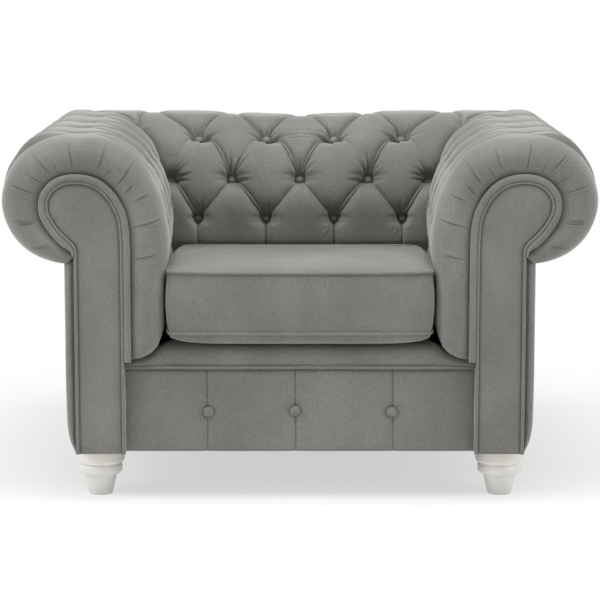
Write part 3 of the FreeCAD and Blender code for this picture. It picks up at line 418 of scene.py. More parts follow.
class Row:
    """What one row of the pad's mesh shares: its place on the profile and its stage between button rows."""

    def __init__(self, s, wall_levels=WALL_LEVELS):
        self.s = s
        self.base, outer = profile(s, wall_levels)
        self.thick = float(np.linalg.norm(outer - self.base))
        self.direction = (outer - self.base) / self.thick
        self.fullness = min(1.0, self.thick / 60)
        if s <= ROW_LOW:
            self.band, self.phase = "pleats", 0.0
        elif s <= ROW_MIDDLE:
            self.band, self.phase = "low", (s - ROW_LOW) / (ROW_MIDDLE - ROW_LOW)
        elif s <= ROW_HIGH:
            self.band, self.phase = "middle", (ROW_HIGH - s) / (ROW_HIGH - ROW_MIDDLE)
        elif s <= ROW_TOP:
            self.band, self.phase = "top", (s - ROW_HIGH) / (ROW_TOP - ROW_HIGH)
        else:
            self.band, self.phase = "channels", 1.0
        self.near_row = min(abs(s - row) for row in (ROW_LOW, ROW_MIDDLE, ROW_HIGH))
        self.gap = CREASE_GAP + (PIT_HALF_WIDTH - CREASE_GAP) * math.exp(-((self.near_row / 10.5) ** 2.4))

    def at(self, t):
        """(p, Z) at a height t above the base; t may be an array."""
        return self.base[0] + self.direction[0] * t, self.base[1] + self.direction[1] * t

    def reach(self, double):
        """How far a crease has run from its odd column towards the next even one, from 0 to 1."""
        if self.band == "low":
            return 1 - (1 - self.phase) ** (0.78 if double else 1.0)
        if self.band == "middle":
            return self.phase ** (0.52 if double else 0.62)
        if self.band == "top":
            return 1 - (1 - self.phase) ** (1.7 if double else 1.15)
        return self.phase

    def crease_depth(self, double):
        """Depth of a crease below the envelope: shallow half way between buttons, deep where it meets one."""
        s = self.s
        if self.band == "pleats":
            near = math.exp(-pit_distance(ROW_LOW - s) / 12)
            return (PLEAT_DEPTH + (PIT_DEPTH - PLEAT_DEPTH) * near) * self.fullness
        if self.band == "channels":
            return (11 + 6 * math.exp(-(s - ROW_TOP) / 60)) * self.fullness
        if self.band == "top":
            near = math.exp(-pit_distance(s - ROW_HIGH) / 17)
            middle = 14 if double else 12
            return middle + 3 * self.phase + (PIT_DEPTH - middle) * near
        middle = 13 if double else (3.0 if self.band == "middle" else 10)
        return middle + (PIT_DEPTH - middle) * math.exp(-pit_distance(self.near_row) / 12.0)

    def fold(self, double):
        """(width, height) of the tuck of cloth along a crease; it closes towards the buttons."""
        if not double or self.band in ("pleats", "channels"):
            return 0.5, 0.0
        open_share = math.sin(math.pi * min(1.0, 0.05 + 0.95 * self.phase)) ** 0.55
        return 0.5 + 7.5 * open_share, 6.0 * open_share

    def lean(self, y):
        """How far the arm's inner side leans outwards at a depth y."""
        low, full, fading, gone = LEAN_LEVELS
        rise = min(1.0, max(0.0, (self.s - low) / (full - low)))
        fall = min(1.0, max(0.0, (gone - self.s) / (gone - fading)))
        back = min(1.0, max(0.0, (y - BORDER_SEAM) / (ARM_CORNER_MIDDLE - BORDER_SEAM)))
        return LEAN * (rise * fall) * back

    def crowns(self):
        """Depths of the crowns of pillows at odd and at even columns."""
        if self.band == "pleats":
            return PIT_DEPTH, 0.0
        if self.band == "channels":
            return 0.0, PIT_DEPTH
        odd_row = ROW_LOW if self.band == "low" else ROW_HIGH
        even_row = ROW_TOP if self.band == "top" else ROW_MIDDLE
        return crown_depth(self.s - odd_row), crown_depth(self.s - even_row)


def pillow(x, crown, crease_from, crease_to, flat):
    """Depth below the envelope across one pillow: x is -1 to 1 between its creases, and flat is 0 to 1."""
    edge = np.where(x < 0, crease_from, crease_to)
    rise = (1 - np.abs(x) ** (2.7 + 7 * flat)) ** (0.56 - 0.06 * flat)
    # Where it is flat a pleat's slot goes deeper than its edges, and elsewhere a pillow always stands proud
    floor = edge + 10 * smooth_step((flat - 0.4) * 4) - 0.4
    return edge + (np.minimum(crown, floor) - edge) * rise


def spread(count):
    """Shares from 0 to 1, closer together at both ends."""
    even = np.linspace(0, 1, count)
    return 0.45 * even + 0.55 * (1 - np.cos(math.pi * even)) / 2


def flatness(row):
    """How flat the pillows of a row are: they stretch flat between the pleats under the lowest buttons."""
    if row.band == "pleats":
        return 0.4 + 0.6 * float(smooth_step((ROW_LOW - row.s) / 36))
    return 0.4 * float(1 - smooth_step((row.s - ROW_LOW) / 50) + smooth_step((row.s - ROW_HIGH - 35) / 60))


def pad_row(row, creases, crowns):
    """(positions, depths) along one row, from creases of (position, depth, (fold width, fold height))."""
    places, depths = [], []
    pillow_share, fold_share = spread(PILLOW_COLUMNS), np.linspace(0, 1, 7)[1:-1]
    for k, ((u0, d0, (w0, _)), (u1, d1, (w1, h1))) in enumerate(zip(creases, creases[1:])):
        left = u0 + w0 / 2
        width = max(u1 - w1 / 2 - left, 0.05)
        places.append(left + width * pillow_share)
        depths.append(pillow(2 * pillow_share - 1, crowns[k], d0, d1, flatness(row)))
        if k < len(creases) - 2:
            places.append(left + width + w1 * fold_share)
            depths.append(d1 - h1 * np.sin(math.pi * fold_share) ** 0.7)
    return np.concatenate(places), np.concatenate(depths)


# Short wrinkles that run from a button into the pillows round it: (angle, start, length, depth, bend, width).
# Angles are measured in the pad's surface, 90 degrees being up it; a bend curls the wrinkle's far end over.
WRINKLES = {
    "low": (
        (66, 14, 44, 3.2, 0.35, 2.2), (82, 12, 30, 2.2, 0.1, 1.8), (104, 12, 34, 2.2, -0.15, 1.8),
        (124, 13, 24, 1.6, 0.0, 1.7), (-72, 12, 40, 3.4, 0.1, 1.9), (-84, 13, 30, 2.0, 0.0, 1.6),
        (-100, 12, 22, 1.8, 0.0, 1.6), (-58, 13, 28, 2.4, 0.2, 1.8),
    ),
    "middle": (
        (60, 15, 60, 4.0, -0.12, 2.5), (74, 13, 54, 4.6, -0.1, 2.3), (89, 14, 62, 4.0, 0.06, 2.2),
        (104, 13, 50, 4.0, 0.12, 2.3), (120, 15, 42, 2.6, 0.2, 2.1), (-24, 12, 32, 3.6, 0.25, 2.2),
        (-6, 13, 24, 2.2, 0.2, 2.0), (-128, 13, 17, 1.8, 0.0, 1.6), (-112, 13, 19, 2.0, 0.0, 1.6),
        (-96, 13, 22, 2.0, 0.0, 1.6), (-80, 13, 20, 2.0, 0.0, 1.6), (-64, 13, 20, 1.8, 0.0, 1.6),
    ),
    "corner": (
        (62, 15, 58, 4.0, -0.1, 2.4), (45, 14, 50, 3.2, -0.1, 2.3), (26, 14, 44, 2.6, 0.1, 2.3),
        (4, 13, 46, 4.0, 0.1, 2.3), (-14, 13, 40, 3.4, 0.1, 2.2), (-30, 13, 30, 2.4, 0.1, 2.0),
    ),
    "centre": (
        (60, 14, 48, 3.4, -0.15, 2.4), (76, 12, 46, 3.6, -0.1, 2.2), (91, 13, 50, 3.4, 0.0, 2.1),
        (106, 12, 44, 3.6, 0.12, 2.2), (121, 14, 40, 2.8, 0.15, 2.1), (-97, 12, 70, 4.0, 0.04, 2.2),
        (-87, 12, 66, 3.4, -0.04, 2.0), (-107, 13, 34, 2.4, 0.0, 1.8), (-76, 13, 36, 2.6, 0.0, 1.8),
        (-120, 13, 20, 1.8, 0.0, 1.6), (-62, 13, 22, 2.0, 0.0, 1.6), (-10, 13, 22, 1.8, 0.2, 1.9),
    ),
    "high": (
        (48, 13, 36, 2.4, 0.2, 2.2), (62, 12, 44, 3.0, 0.15, 2.1), (76, 13, 36, 2.2, 0.05, 2.0),
        (104, 13, 40, 2.4, -0.1, 2.0), (118, 12, 46, 2.8, -0.15, 2.2), (132, 14, 30, 1.8, -0.2, 2.0),
        (90, 13, 30, 1.8, 0.0, 1.9),
    ),
}


WRINKLE_REACH = 84.0


def add_wrinkles(u, s, depth, buttons, seed):
    """Presses the wrinkles of every button into the depths. u and s are the grid's surface coordinates."""
    rng = np.random.default_rng(seed)
    for column, row, toward, kind in buttons:
        near = (np.abs(u - column) < WRINKLE_REACH) & (np.abs(s - row) < WRINKLE_REACH)
        du, ds = (u[near] - column) * toward, s[near] - row
        change = np.zeros(du.shape)
        for angle, start, length, amount, bend, width in WRINKLES[kind]:
            a = math.radians(angle + rng.uniform(-5, 5))
            length = length * rng.uniform(0.85, 1.15)
            amount = amount * rng.uniform(0.75, 1.15)
            along = du * math.cos(a) + ds * math.sin(a)
            off = -du * math.sin(a) + ds * math.cos(a) - bend * along * along / length
            wide = width * (0.75 + 0.5 * np.clip(along / length, 0, 1))
            fade = between(along, start - 6, 7, length + 8, length * 0.65)
            change += amount * fade * groove(off, wide, 0.5, 2.1 * wide, 1.3 * wide)
        depth[near] += change
    return depth


def mitre_column(row, depth):
    """p where a row meets the 45 degree plane at a depth below the envelope."""
    return row.at(max(1.0, row.thick - depth))[0]


def mitre_depth(row):
    """Depth of the crease between arm and back: pits at the middle and high rows, a soft seam above."""
    s = row.s
    if s > CORNER_PIT:
        depth = TOP_SEAM_DEPTH + (PIT_DEPTH - TOP_SEAM_DEPTH) * bell((s - CORNER_PIT) / 30)
    else:
        pits = sum(bell((s - at) / 26) for at in (ROW_MIDDLE, CORNER_PIT))
        depth = MITRE_DEPTH + (PIT_DEPTH - MITRE_DEPTH) * min(1.0, pits)
    return depth * row.fullness + row.lean(ARM_CORNER_MIDDLE)


BACK_SAG = 8.0


def sagged(x, s):
    """How much lower the back's top lies towards its middle."""
    return BACK_SAG * between(s, 110, 130, 580, 160) * (1 - smooth_step(np.abs(x) / 250))


# Columns of the back's buttons, and where its outermost creases meet the corners
BACK_ODD, BACK_EVEN = (-219.0, -73.0, 73.0, 219.0), (-PITCH, 0.0, PITCH)
CORNER_MIDDLE, CORNER_TOP_BACK = 277.0, 326.0
PILLOW_COLUMNS = 33


def column_creases(row, columns, corner, doubled_before, doubled_after):
    """Creases before and after each odd column, with the bands in which each of them is a doubled fold."""
    creases = []
    for column in columns:
        last_reach = corner - column if column == columns[-1] else PITCH / 2
        for way, reach, bands in ((-1, PITCH / 2, doubled_before), (1, last_reach, doubled_after)):
            double = row.band in bands
            run = row.gap + (reach - 2 * row.gap) * row.reach(double)
            creases.append((column + way * run, row.crease_depth(double), row.fold(double)))
    return creases


def corner_creases(row, mitre, deep, target, last_place):
    """The fold that leaves the corner's upper pit to become the channel beside the corner, and the mitre."""
    crease, depth = mitre - 0.3, deep
    if row.s > CORNER_PIT:
        share = min(1.0, (row.s - CORNER_PIT) / (ROW_TOP - CORNER_PIT))
        crease -= max(0.0, (crease - (target + row.gap)) * (1 - (1 - share) ** 1.8))
        depth = max(row.crease_depth(False), deep * 0.6 + 4)
    return [(max(crease, last_place + 1.2), depth, (0.4, 0.0)), (mitre, deep, (0.0, 0.0))]


def back_creases(row):
    """(creases, crowns) of one row of the back, from its left mitre to its right one."""
    deep = mitre_depth(row)
    mitre = mitre_column(row, deep)
    corner = CORNER_TOP_BACK if row.s > ROW_HIGH else CORNER_MIDDLE
    half = column_creases(row, BACK_ODD[2:], corner, ("middle",), ("low", "top"))
    half += corner_creases(row, mitre, deep, CORNER_TOP_BACK, half[-1][0])
    mirrored = [(-u, d, w) for u, d, w in half[::-1]]
    odd, even = row.crowns()
    last = PIT_DEPTH if row.s <= CORNER_PIT else 0.0
    return mirrored + half, [last, even, *(odd, even) * 3, odd, even, last]


def pad_surface(rows, creases_of, buttons, seed):
    """Grid arrays (u, s, depth) of a pad's tufted face."""
    places = [pad_row(row, *creases_of(row)) for row in rows]
    u, depth = (np.array(values) for values in zip(*places))
    s = np.broadcast_to(np.array([row.s for row in rows])[:, None], u.shape)
    return u, s, add_wrinkles(u, s, depth, buttons, seed)


def soft_waves(u, s, seed, size=46.0, amount=0.55):
    """Slow unevenness of stuffing, from a few crossing sines."""
    rng = np.random.default_rng(seed)
    total = np.zeros(np.shape(u))
    for _ in range(7):
        a, phase = rng.uniform(0, math.pi), rng.uniform(0, 2 * math.pi)
        wave = size * rng.uniform(0.7, 1.8)
        total += np.sin((u * math.cos(a) + s * math.sin(a)) * 2 * math.pi / wave + phase)
    return total / 7 * amount


# Long slack folds between the inner high buttons: (height above them, drop at the ends, depth, width)
SLACK_FOLDS = ((-11.0, -15.0, 2.6, 2.2), (-20.0, -20.0, 1.8, 2.0), (1.0, -8.0, 1.5, 2.6))
# Soft dents of the loose cloth under them: (x, s, depth, half-width, half-height)
SLACK_DENTS = (
    (-17.0, 172.0, 2.4, 9.0, 15.0), (19.0, 168.0, 2.2, 8.0, 16.0), (2.0, 152.0, 1.8, 12.0, 9.0),
    (-44.0, 186.0, 1.6, 14.0, 6.0), (42.0, 184.0, 1.6, 14.0, 6.0),
)
LIP_DIP, LIP_BELOW = 6.0, 20.0


def lip_dips(u, s):
    """The pillows under the high buttons dip in the middle of their upper lips, so that the buttons show."""
    below = bell((s - ROW_HIGH + LIP_BELOW) / 17)
    return sum(LIP_DIP * below * bell((u - column) / 20.0) for column in BACK_ODD)


def slack_folds(u, s):
    half = PITCH / 2
    total = np.zeros(u.shape)
    inside = smooth_step((half - 5 - np.abs(u)) / 12)
    for rise, drop, amount, width in SLACK_FOLDS:
        fall = drop * np.clip(np.abs(u) / half, 0, 1) ** 3.5
        off = s - ROW_HIGH - rise + fall - 1.2 * np.sin(u / 23 + rise)
        total += inside * amount * groove(off, width, 0.5, -2.1 * width, 1.4 * width)
    for x, place, amount, half_width, half_height in SLACK_DENTS:
        total += amount * bell((u - x) / half_width) * bell((s - place) / half_height)
    return total


def back_pad():
    rows = [Row(s, BACK_WALL_LEVELS) for s in row_places(5.0)]
    buttons = []
    for column in BACK_ODD:
        toward = 1 if column < 0 else -1
        buttons += [(column, ROW_LOW, toward, "low"), (column, ROW_HIGH, toward, "high")]
    for column in BACK_EVEN:
        buttons.append((column, ROW_MIDDLE, 1 if column <= 0 else -1, "middle" if column else "centre"))
    buttons += [(-CORNER_MIDDLE, ROW_MIDDLE, 1, "corner"), (CORNER_MIDDLE, ROW_MIDDLE, -1, "corner")]
    u, s, depth = pad_surface(rows, back_creases, buttons, 11)
    depth += slack_folds(u, s) + lip_dips(u, s)
    depth += soft_waves(u, s, 12) + sagged(u, s)
    grid = np.zeros((*u.shape, 3))
    for r, row in enumerate(rows):
        p, z = row.at(row.thick - depth[r])
        y = p - MITRE
        # Both ends lie on the mitre plane
        y[0], y[-1] = abs(u[r][0]) - MITRE, abs(u[r][-1]) - MITRE
        grid[r] = np.stack([u[r], y, z], axis=1)
    grid = with_mitre_flaps(grid, rows, ends=(0, -1))
    piece = grid_object("back_pad_velvet", grid, "velvet")
    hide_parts("back_pad")


def with_mitre_flaps(grid, rows, ends):
    """Turns the cloth in at a mitre, down towards the frame, so that the seam has depth."""
    for end in ends:
        edge = grid[:, end]
        side = math.copysign(1, edge[0, 0])
        root = np.array([(side * row.base[0], row.base[0] - MITRE, row.base[1]) for row in rows])
        flap = np.stack([edge + (root - edge) * share for share in (0.35, 0.75)], axis=1)
        grid = np.concatenate([flap[:, ::-1], grid] if end == 0 else [grid, flap], axis=1)
    return grid


# Arms: a pleated bull-nose border in front, then the same lattice back to the mitre
ARM_ODD = (-224.0, -78.0, 68.0)
ARM_EVEN = (-297.0, -151.0, -5.0)
ARM_CORNER_MIDDLE, ARM_CORNER_TOP = 141.0, 176.0
NOSE_START, NOSE_FRONT, BORDER_CREST, BORDER_SEAM = -423.0, -440.0, -380.0, -370.0
SEAM_DEPTH = 9.0
# How far the cloth behind the border swells past it over the roll, and further at the roll's top
REAR_SWELL, UPPER_SWELL = 5.0, 7.0
# Short folds of the border: (arc length at its outer end and at its inner end, share of the depth from and to)
BORDER_FOLDS = (
    (322, 318, 0.12, 0.95), (244, 244, 0.18, 0.80), (208, 214, 0.62, 0.98), (181, 158, 0.10, 0.97),
    (404, 397, 0.18, 0.98), (372, 372, 0.66, 0.95), (486, 492, 0.24, 0.86), (566, 592, 0.30, 0.82),
    (575, 600, 0.34, 0.84), (638, 676, 0.18, 0.66), (106, 106, 0.26, 0.62), (52, 46, 0.12, 0.92),
    (-16, -28, 0.28, 0.96), (140, 128, 0.50, 0.80), (446, 446, 0.55, 0.9),
)


def nose_section(columns):
    """(y, share of thickness) round the border: forward out of the band's seam, then back to its crest."""
    turn = np.linspace(0, 1, columns)
    split, fullest = 0.42, 0.44
    y, t = np.zeros(columns), np.zeros(columns)
    first = turn <= split
    a = turn[first] / split
    t[first] = -0.06 + (fullest + 0.06) * a
    y[first] = NOSE_START + (NOSE_FRONT - NOSE_START) * np.sin(a * math.pi / 2) ** 0.9
    b = (turn[~first] - split) / (1 - split) * math.pi / 2
    y[~first] = BORDER_CREST - (BORDER_CREST - NOSE_FRONT) * np.cos(b) ** 0.92
    t[~first] = fullest + (1 - fullest) * np.sin(b) ** 0.92
    return y, t


def seam_depth_at(row):
    return (SEAM_DEPTH + 13.0 * float(over_roll(row.s))) * row.fullness


def over_roll(s):
    """1 on the upper outer side of the roll, where the cloth behind the border swells past it, else 0."""
    return between(s, 325, 90, 535, 85)


def border_fold_depth(s, t):
    """Depth of the short radial folds at a point of the border. t is its share of the pad's thickness."""
    inward = 1 - t
    total = np.zeros(np.shape(t))
    for s_out, s_in, start, end in BORDER_FOLDS:
        along = (inward - start) / (end - start)
        off = s - (s_out + (s_in - s_out) * along)
        total += between(along, -0.12, 0.35, 1.15, 0.45) * 3.0 * groove(off, 1.45, 1.1 / 3.0, 3.8, 2.4)
    return total


def arm_creases(row):
    """(creases, crowns) of one row of an arm, from its border's seam to its mitre."""
    deep = mitre_depth(row)
    mitre = mitre_column(row, deep) - MITRE
    seam_depth = seam_depth_at(row)
    first = BORDER_SEAM + row.gap + (PITCH / 2 - 2 * row.gap) * row.reach(False)
    first_depth = max(seam_depth, row.crease_depth(False) * min(1.0, row.phase * 3))
    creases = [(BORDER_SEAM, seam_depth, (0.0, 0.0)), (first, first_depth, (0.5, 0.0))]
    corner = ARM_CORNER_TOP if row.s > ROW_HIGH else ARM_CORNER_MIDDLE
    creases += column_creases(row, ARM_ODD, corner, ("low", "top"), ("middle",))
    creases = [(y, d + row.lean(y), w) for y, d, w in creases]
    creases += corner_creases(row, mitre, deep, ARM_CORNER_TOP, creases[-1][0])
    crowns = [*row.crowns() * 4, PIT_DEPTH if row.s <= CORNER_PIT else 0.0]
    crowns = [c + row.lean((a[0] + b[0]) / 2) for c, a, b in zip(crowns, creases, creases[1:])]
    return creases, crowns


# (p, Z) of the line on the neck where the cloth that goes in under the roll is nailed
NECK_TUCK = (431.0, 482.0)
# (share of the way to that line, height added) of the rows on the way there
TUCK_ROWS = ((0.3, -2.0), (0.6, -1.5), (0.85, 0.0), (1.0, 5.0))


def tucked_under(edge, side):
    """Rows that take the pad's last row in under the roll, to where it is nailed on the neck."""
    rows = []
    for share, lift in TUCK_ROWS:
        row = edge.copy()
        row[:, 0] += (side * NECK_TUCK[0] - edge[:, 0]) * share
        row[:, 2] += (NECK_TUCK[1] - edge[:, 2]) * share**1.5 + lift
        rows.append(row)
    return np.array(rows)


def arm_pad(side, word):
    rows = [Row(s) for s in row_places(2.6)]
    buttons = []
    for column in ARM_ODD:
        buttons += [(column, ROW_LOW, 1, "low"), (column, ROW_HIGH, 1, "high")]
    buttons += [(column, ROW_MIDDLE, 1, "middle") for column in ARM_EVEN]
    u, s, depth = pad_surface(rows, arm_creases, buttons, 21 if side < 0 else 22)
    depth += soft_waves(u, s, 23 if side < 0 else 24)
    swell = REAR_SWELL * over_roll(s) + UPPER_SWELL * between(s, 322, 60, 450, 65)
    depth -= swell * smooth_step((u - BORDER_SEAM) / 14)
    grid = np.zeros((*u.shape, 3))
    for r, row in enumerate(rows):
        p, z = row.at(row.thick - depth[r])
        y = u[r].copy()
        y[-1] = p[-1] - MITRE
        grid[r] = np.stack([side * p, y, z], axis=1)
    grid = with_mitre_flaps(grid, rows, ends=(-1,))
    grid = np.concatenate([grid, tucked_under(grid[-1], side)])
    pad = grid_object(f"arm_pad_{word}_velvet", grid, "velvet", flip=side > 0)
    border = arm_border(side, word)
    for piece in (pad, border):
        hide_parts(f"arm_pad_{word}")


def arm_border(side, word):
    """The pleated border that rolls round the arm's front, from the band back to its seam."""
    rows = [Row(s) for s in np.linspace(FIRST_ROW, END_OF_PAD, 700)]
    nose_y, nose_t = nose_section(32)
    turn = np.linspace(0, 1, 8)[1:] * math.pi / 2
    grid = np.zeros((len(rows), len(nose_y) + len(turn), 3))
    for r, row in enumerate(rows):
        y = (nose_y - NOSE_START) * np.where(nose_y < NOSE_START, row.fullness, 1.0) + NOSE_START
        t = (row.thick - 2.0 * float(over_roll(row.s))) * nose_t
        # Folds press in along the border's own surface normal
        dy, dt = np.gradient(y), np.gradient(t)
        length = np.maximum(np.hypot(dy, dt), 1e-6)
        wave = soft_waves(y, np.full(len(y), row.s), 25, 60.0, 0.8)
        press = (border_fold_depth(row.s, nose_t) + wave) * smooth_step(nose_t * 6)
        y, t = y + dt / length * press, t - np.abs(dy / length) * press
        # Behind the crest it rounds down into the seam
        seam_y, seam_t = BORDER_SEAM + 0.6, row.thick - seam_depth_at(row) - 1.0
        y = np.concatenate([y, y[-1] + (seam_y - y[-1]) * np.sin(turn)])
        t = np.concatenate([t, t[-1] + (seam_t - t[-1]) * (1 - np.cos(turn))])
        p, z = row.at(t)
        grid[r] = np.stack([side * p, y, z], axis=1)
    grid = np.concatenate([grid, tucked_under(grid[-1], side)])
    return grid_object(f"arm_border_{word}_velvet", grid, "velvet", flip=side > 0)


# Buttons: (radius, height) of the dome's rings, from its top to under its rim
BUTTON_PROFILE = (
    (0.0, 6.4), (2.6, 6.2), (5.0, 5.4), (7.0, 3.9), (8.2, 1.9), (8.3, 0.5), (7.7, -0.8), (6.2, -1.6),
)
BUTTON_RADIUS, CORNER_BUTTON_RADIUS, FRONT_BUTTON_RADIUS = 8.3, 8.0, 9.6


def add_button(parts, place, direction, radius, rng):
    """A covered button: a dome whose cloth is gathered in small folds round its rim."""
    place, direction = np.asarray(place), np.asarray(direction, float)
    side = unit(np.cross(direction, (0.3, 0.2, 0.9)))
    other = np.cross(direction, side)
    segments, scale = 26, radius / BUTTON_RADIUS
    angle = np.linspace(0, 2 * math.pi, segments, endpoint=False)
    gathers = np.cos(angle * 13 + rng.uniform(0, 6)) * 0.16 + np.cos(angle * 5 + rng.uniform(0, 6)) * 0.10
    # These two draws shape nothing, but what is drawn after them depends on them
    rng.uniform(-0.12, 0.12, 2)
    rings = []
    for r, h in BUTTON_PROFILE[1:]:
        spread_out = r * scale * (1 + 0.06 * gathers * (r / BUTTON_RADIUS) ** 3)
        ring = spread_out[:, None] * (np.cos(angle)[:, None] * side + np.sin(angle)[:, None] * other)
        rings.append(place + ring + direction * h * scale)
    start = len(parts.points)
    parts.add_grid(np.array(rings), wrap_columns=True, flip=True)
    top = len(parts.points)
    parts.points.append(tuple(place + direction * BUTTON_PROFILE[0][1] * scale))
    parts.faces += [(start + k, start + (k + 1) % segments, top) for k in range(segments)]


def pit_floor(row, lift=0.0):
    """(p, Z) of a button's place on the floor of its pit, or a little above it."""
    return row.at(row.thick - PIT_DEPTH + 1.2 + lift)


def tuft_buttons():
    rng = np.random.default_rng(31)
    back = Parts()
    for s, columns in ((ROW_LOW, BACK_ODD), (ROW_MIDDLE, BACK_EVEN), (ROW_HIGH, BACK_ODD)):
        row = Row(s)
        p, z = pit_floor(row, 1.8 if s == ROW_HIGH else 0.0)
        for x in columns:
            add_button(back, (x, p - MITRE, z), (0, *row.direction), BUTTON_RADIUS, rng)
    row = Row(ROW_MIDDLE)
    p, z = row.at(row.thick - mitre_depth(row) + 1.5)
    for side in (-1, 1):
        way = unit((side * row.direction[0], row.direction[0], row.direction[1] * 1.4))
        add_button(back, (side * (p - 1.0), p - MITRE - 1.0, z), way, CORNER_BUTTON_RADIUS, rng)
    piece = back.build("back_buttons_velvet", "velvet_button")
    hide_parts("back_buttons")
    for side, word in ((-1, "left"), (1, "right")):
        arm = Parts()
        for s, columns in ((ROW_LOW, ARM_ODD), (ROW_MIDDLE, ARM_EVEN), (ROW_HIGH, ARM_ODD)):
            row = Row(s)
            way = (side * row.direction[0], 0, row.direction[1])
            for y in columns:
                p, z = pit_floor(row, -row.lean(y))
                add_button(arm, (side * p, y, z), way, BUTTON_RADIUS, rng)
        piece = arm.build(f"arm_buttons_{word}_velvet", "velvet_button")
        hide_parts(f"arm_buttons_{word}")


# Scroll fronts
# How far inside the outline the panel's edge, the piping and the band's middle run, and |X| beside the neck
PANEL_EDGE, PANEL_SIDE = 18.6, 425.6
PIPE_LINE, PIPE_SIDE = 16.5, 428.2
BAND_LINE = 7.3
# Half the band's width, along it and at its tip
BAND_HALF, BAND_TIP_HALF = 6.5, 1.3
# Z of the scroll front's foot, of the band's foot and of the band's tip beside the neck
FRONT_LOW, BAND_LOW, BAND_TIP = 95.0, 276.0, 479.0
# The scroll's outline, (p, Z): the band's outer edge up the inner side, over the roll and in to the neck
SCROLL = np.array((
    (POST_SIDE, 90.0), (POST_SIDE, 280.0), (POST_SIDE, 420.0), (POST_SIDE, 470.0), (323.4, 505.0),
    (325.1, 534.0), (328.4, 555.5), (334.2, 572.5), (343.4, 590.2), (354.8, 606.5), (366.9, 618.4),
    (381.2, 628.0), (397.6, 634.4), (416.3, 637.7), (435.5, 637.9), (454.6, 634.3), (472.8, 625.2),
    (487.3, 610.6), (496.0, 593.9), (498.4, 577.0), (495.7, 557.6), (486.3, 538.4), (470.2, 515.8),
    (451.5, 497.6), (430.0, 477.0),
))


def smooth_curve(points, step):
    """A smooth curve through points, resampled evenly."""
    points = np.asarray(points, float)
    lengths = lengths_along(points)
    slope = np.gradient(points, lengths, axis=0)
    places = np.linspace(0, lengths[-1], int(lengths[-1] / step * 2))
    k = np.clip(np.searchsorted(lengths, places) - 1, 0, len(points) - 2)
    span = (lengths[k + 1] - lengths[k])[:, None]
    a = ((places - lengths[k]) / span[:, 0])[:, None]
    curve = (2 * a**3 - 3 * a**2 + 1) * points[k] + (a**3 - 2 * a**2 + a) * span * slope[k]
    curve += (3 * a**2 - 2 * a**3) * points[k + 1] + (a**3 - a**2) * span * slope[k + 1]
    return resampled(curve, step)


def scroll_line(inset, low, side, fillet):
    """Points (p, Z) of the scroll's outline, moved inwards: up the inner side, over and down the neck."""
    line = smooth_curve(SCROLL, 2.0)
    along = tangents(line)
    line = line + np.stack([along[:, 1], -along[:, 0]], 1) * inset
    line = line[line[:, 1] >= low]
    # The line comes in to the neck at 45 degrees and turns down there, round the fillet
    diagonal = math.sin(math.radians(45))
    past_roll = np.arange(len(line)) > np.argmax(line[:, 0])
    line = line[~(past_roll & (line[:, 0] < side + (1 - diagonal) * fillet))]
    start = (line[0][0], low)
    centre = (side + fillet, line[-1][1] - diagonal * fillet)
    angles = np.linspace(math.radians(135), math.pi, 12)[1:]
    turn = [(centre[0] + fillet * math.cos(a), centre[1] + fillet * math.sin(a)) for a in angles]
    down = [(side, level) for level in np.linspace(centre[1], low, 60)[1:]]
    return resampled([start, *line, *turn, *down], 2.5)


def inset_loop(loop, distance):
    """A closed loop moved inwards by a distance, with its corners kept sharp."""
    before, after = unit(loop - np.roll(loop, 1, 0)), unit(np.roll(loop, -1, 0) - loop)
    n1 = np.stack([before[:, 1], -before[:, 0]], 1)
    n2 = np.stack([after[:, 1], -after[:, 0]], 1)
    scale = 1 + np.maximum(np.sum(n1 * n2, axis=1, keepdims=True), -0.5)
    return loop + (n1 + n2) / scale * distance


# (distance in from the panel's edge, Y) of the facing's rounded and slightly stuffed front
FACING_RINGS = (
    (0.0, -421.0), (0.0, -427.6), (0.4, -429.4), (1.4, -431.0), (3.2, -432.2), (8.0, -433.2),
    (16.0, -434.0), (27.0, -434.4),
)


def facing(side, word):
    inner_side = POST_SIDE + PANEL_EDGE
    across = np.linspace(PANEL_SIDE, inner_side, 34)[1:-1]
    bottom = np.stack([across, np.full(len(across), FRONT_LOW)], 1)
    loop = np.concatenate([scroll_line(PANEL_EDGE, FRONT_LOW, PANEL_SIDE, 24.0), bottom])
    parts = Parts()
    rings = []
    for distance, y in FACING_RINGS:
        ring = inset_loop(loop, distance)
        low_end = loop[:, 1] < FRONT_LOW + distance * 1.5
        ring[low_end, 0] = np.clip(ring[low_end, 0], inner_side + distance, PANEL_SIDE - distance)
        ring[:, 1] = np.maximum(ring[:, 1], FRONT_LOW + distance)
        rings.append(np.stack([side * ring[:, 0], np.full(len(ring), y), ring[:, 1]], 1))
    parts.add_grid(np.array(rings), wrap_columns=True, flip=side < 0)
    last = list(range((len(rings) - 1) * len(loop), len(rings) * len(loop)))
    parts.faces.append(tuple(last if side > 0 else last[::-1]))
    # The same cloth wraps the post's inner side, down to the front border
    inner, outer = (side * (POST_SIDE + PIPE_LINE - inwards) for inwards in (2.9, 2.2))
    plan = ((inner, -432.0), (inner, -404.5), (outer, -404.5), (outer, -432.0))
    strip = [(x, y, z) for z in (FRONT_LOW + 0.5, 262.0) for x, y in plan]
    faces = [(0, 3, 2, 1), (4, 5, 6, 7)] + [(k, (k + 1) % 4, 4 + (k + 1) % 4, 4 + k) for k in range(4)]
    parts.add(strip, faces if side < 0 else [face[::-1] for face in faces])
    piece = parts.build(f"facing_panel_{word}", "velvet")
    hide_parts(f"arm_facing_{word}")


def squared(wave, power):
    """A sine or cosine pressed outwards, for a section with fuller corners; a power of 2 leaves it round."""
    return np.sign(wave) * np.abs(wave) ** (2 / power)


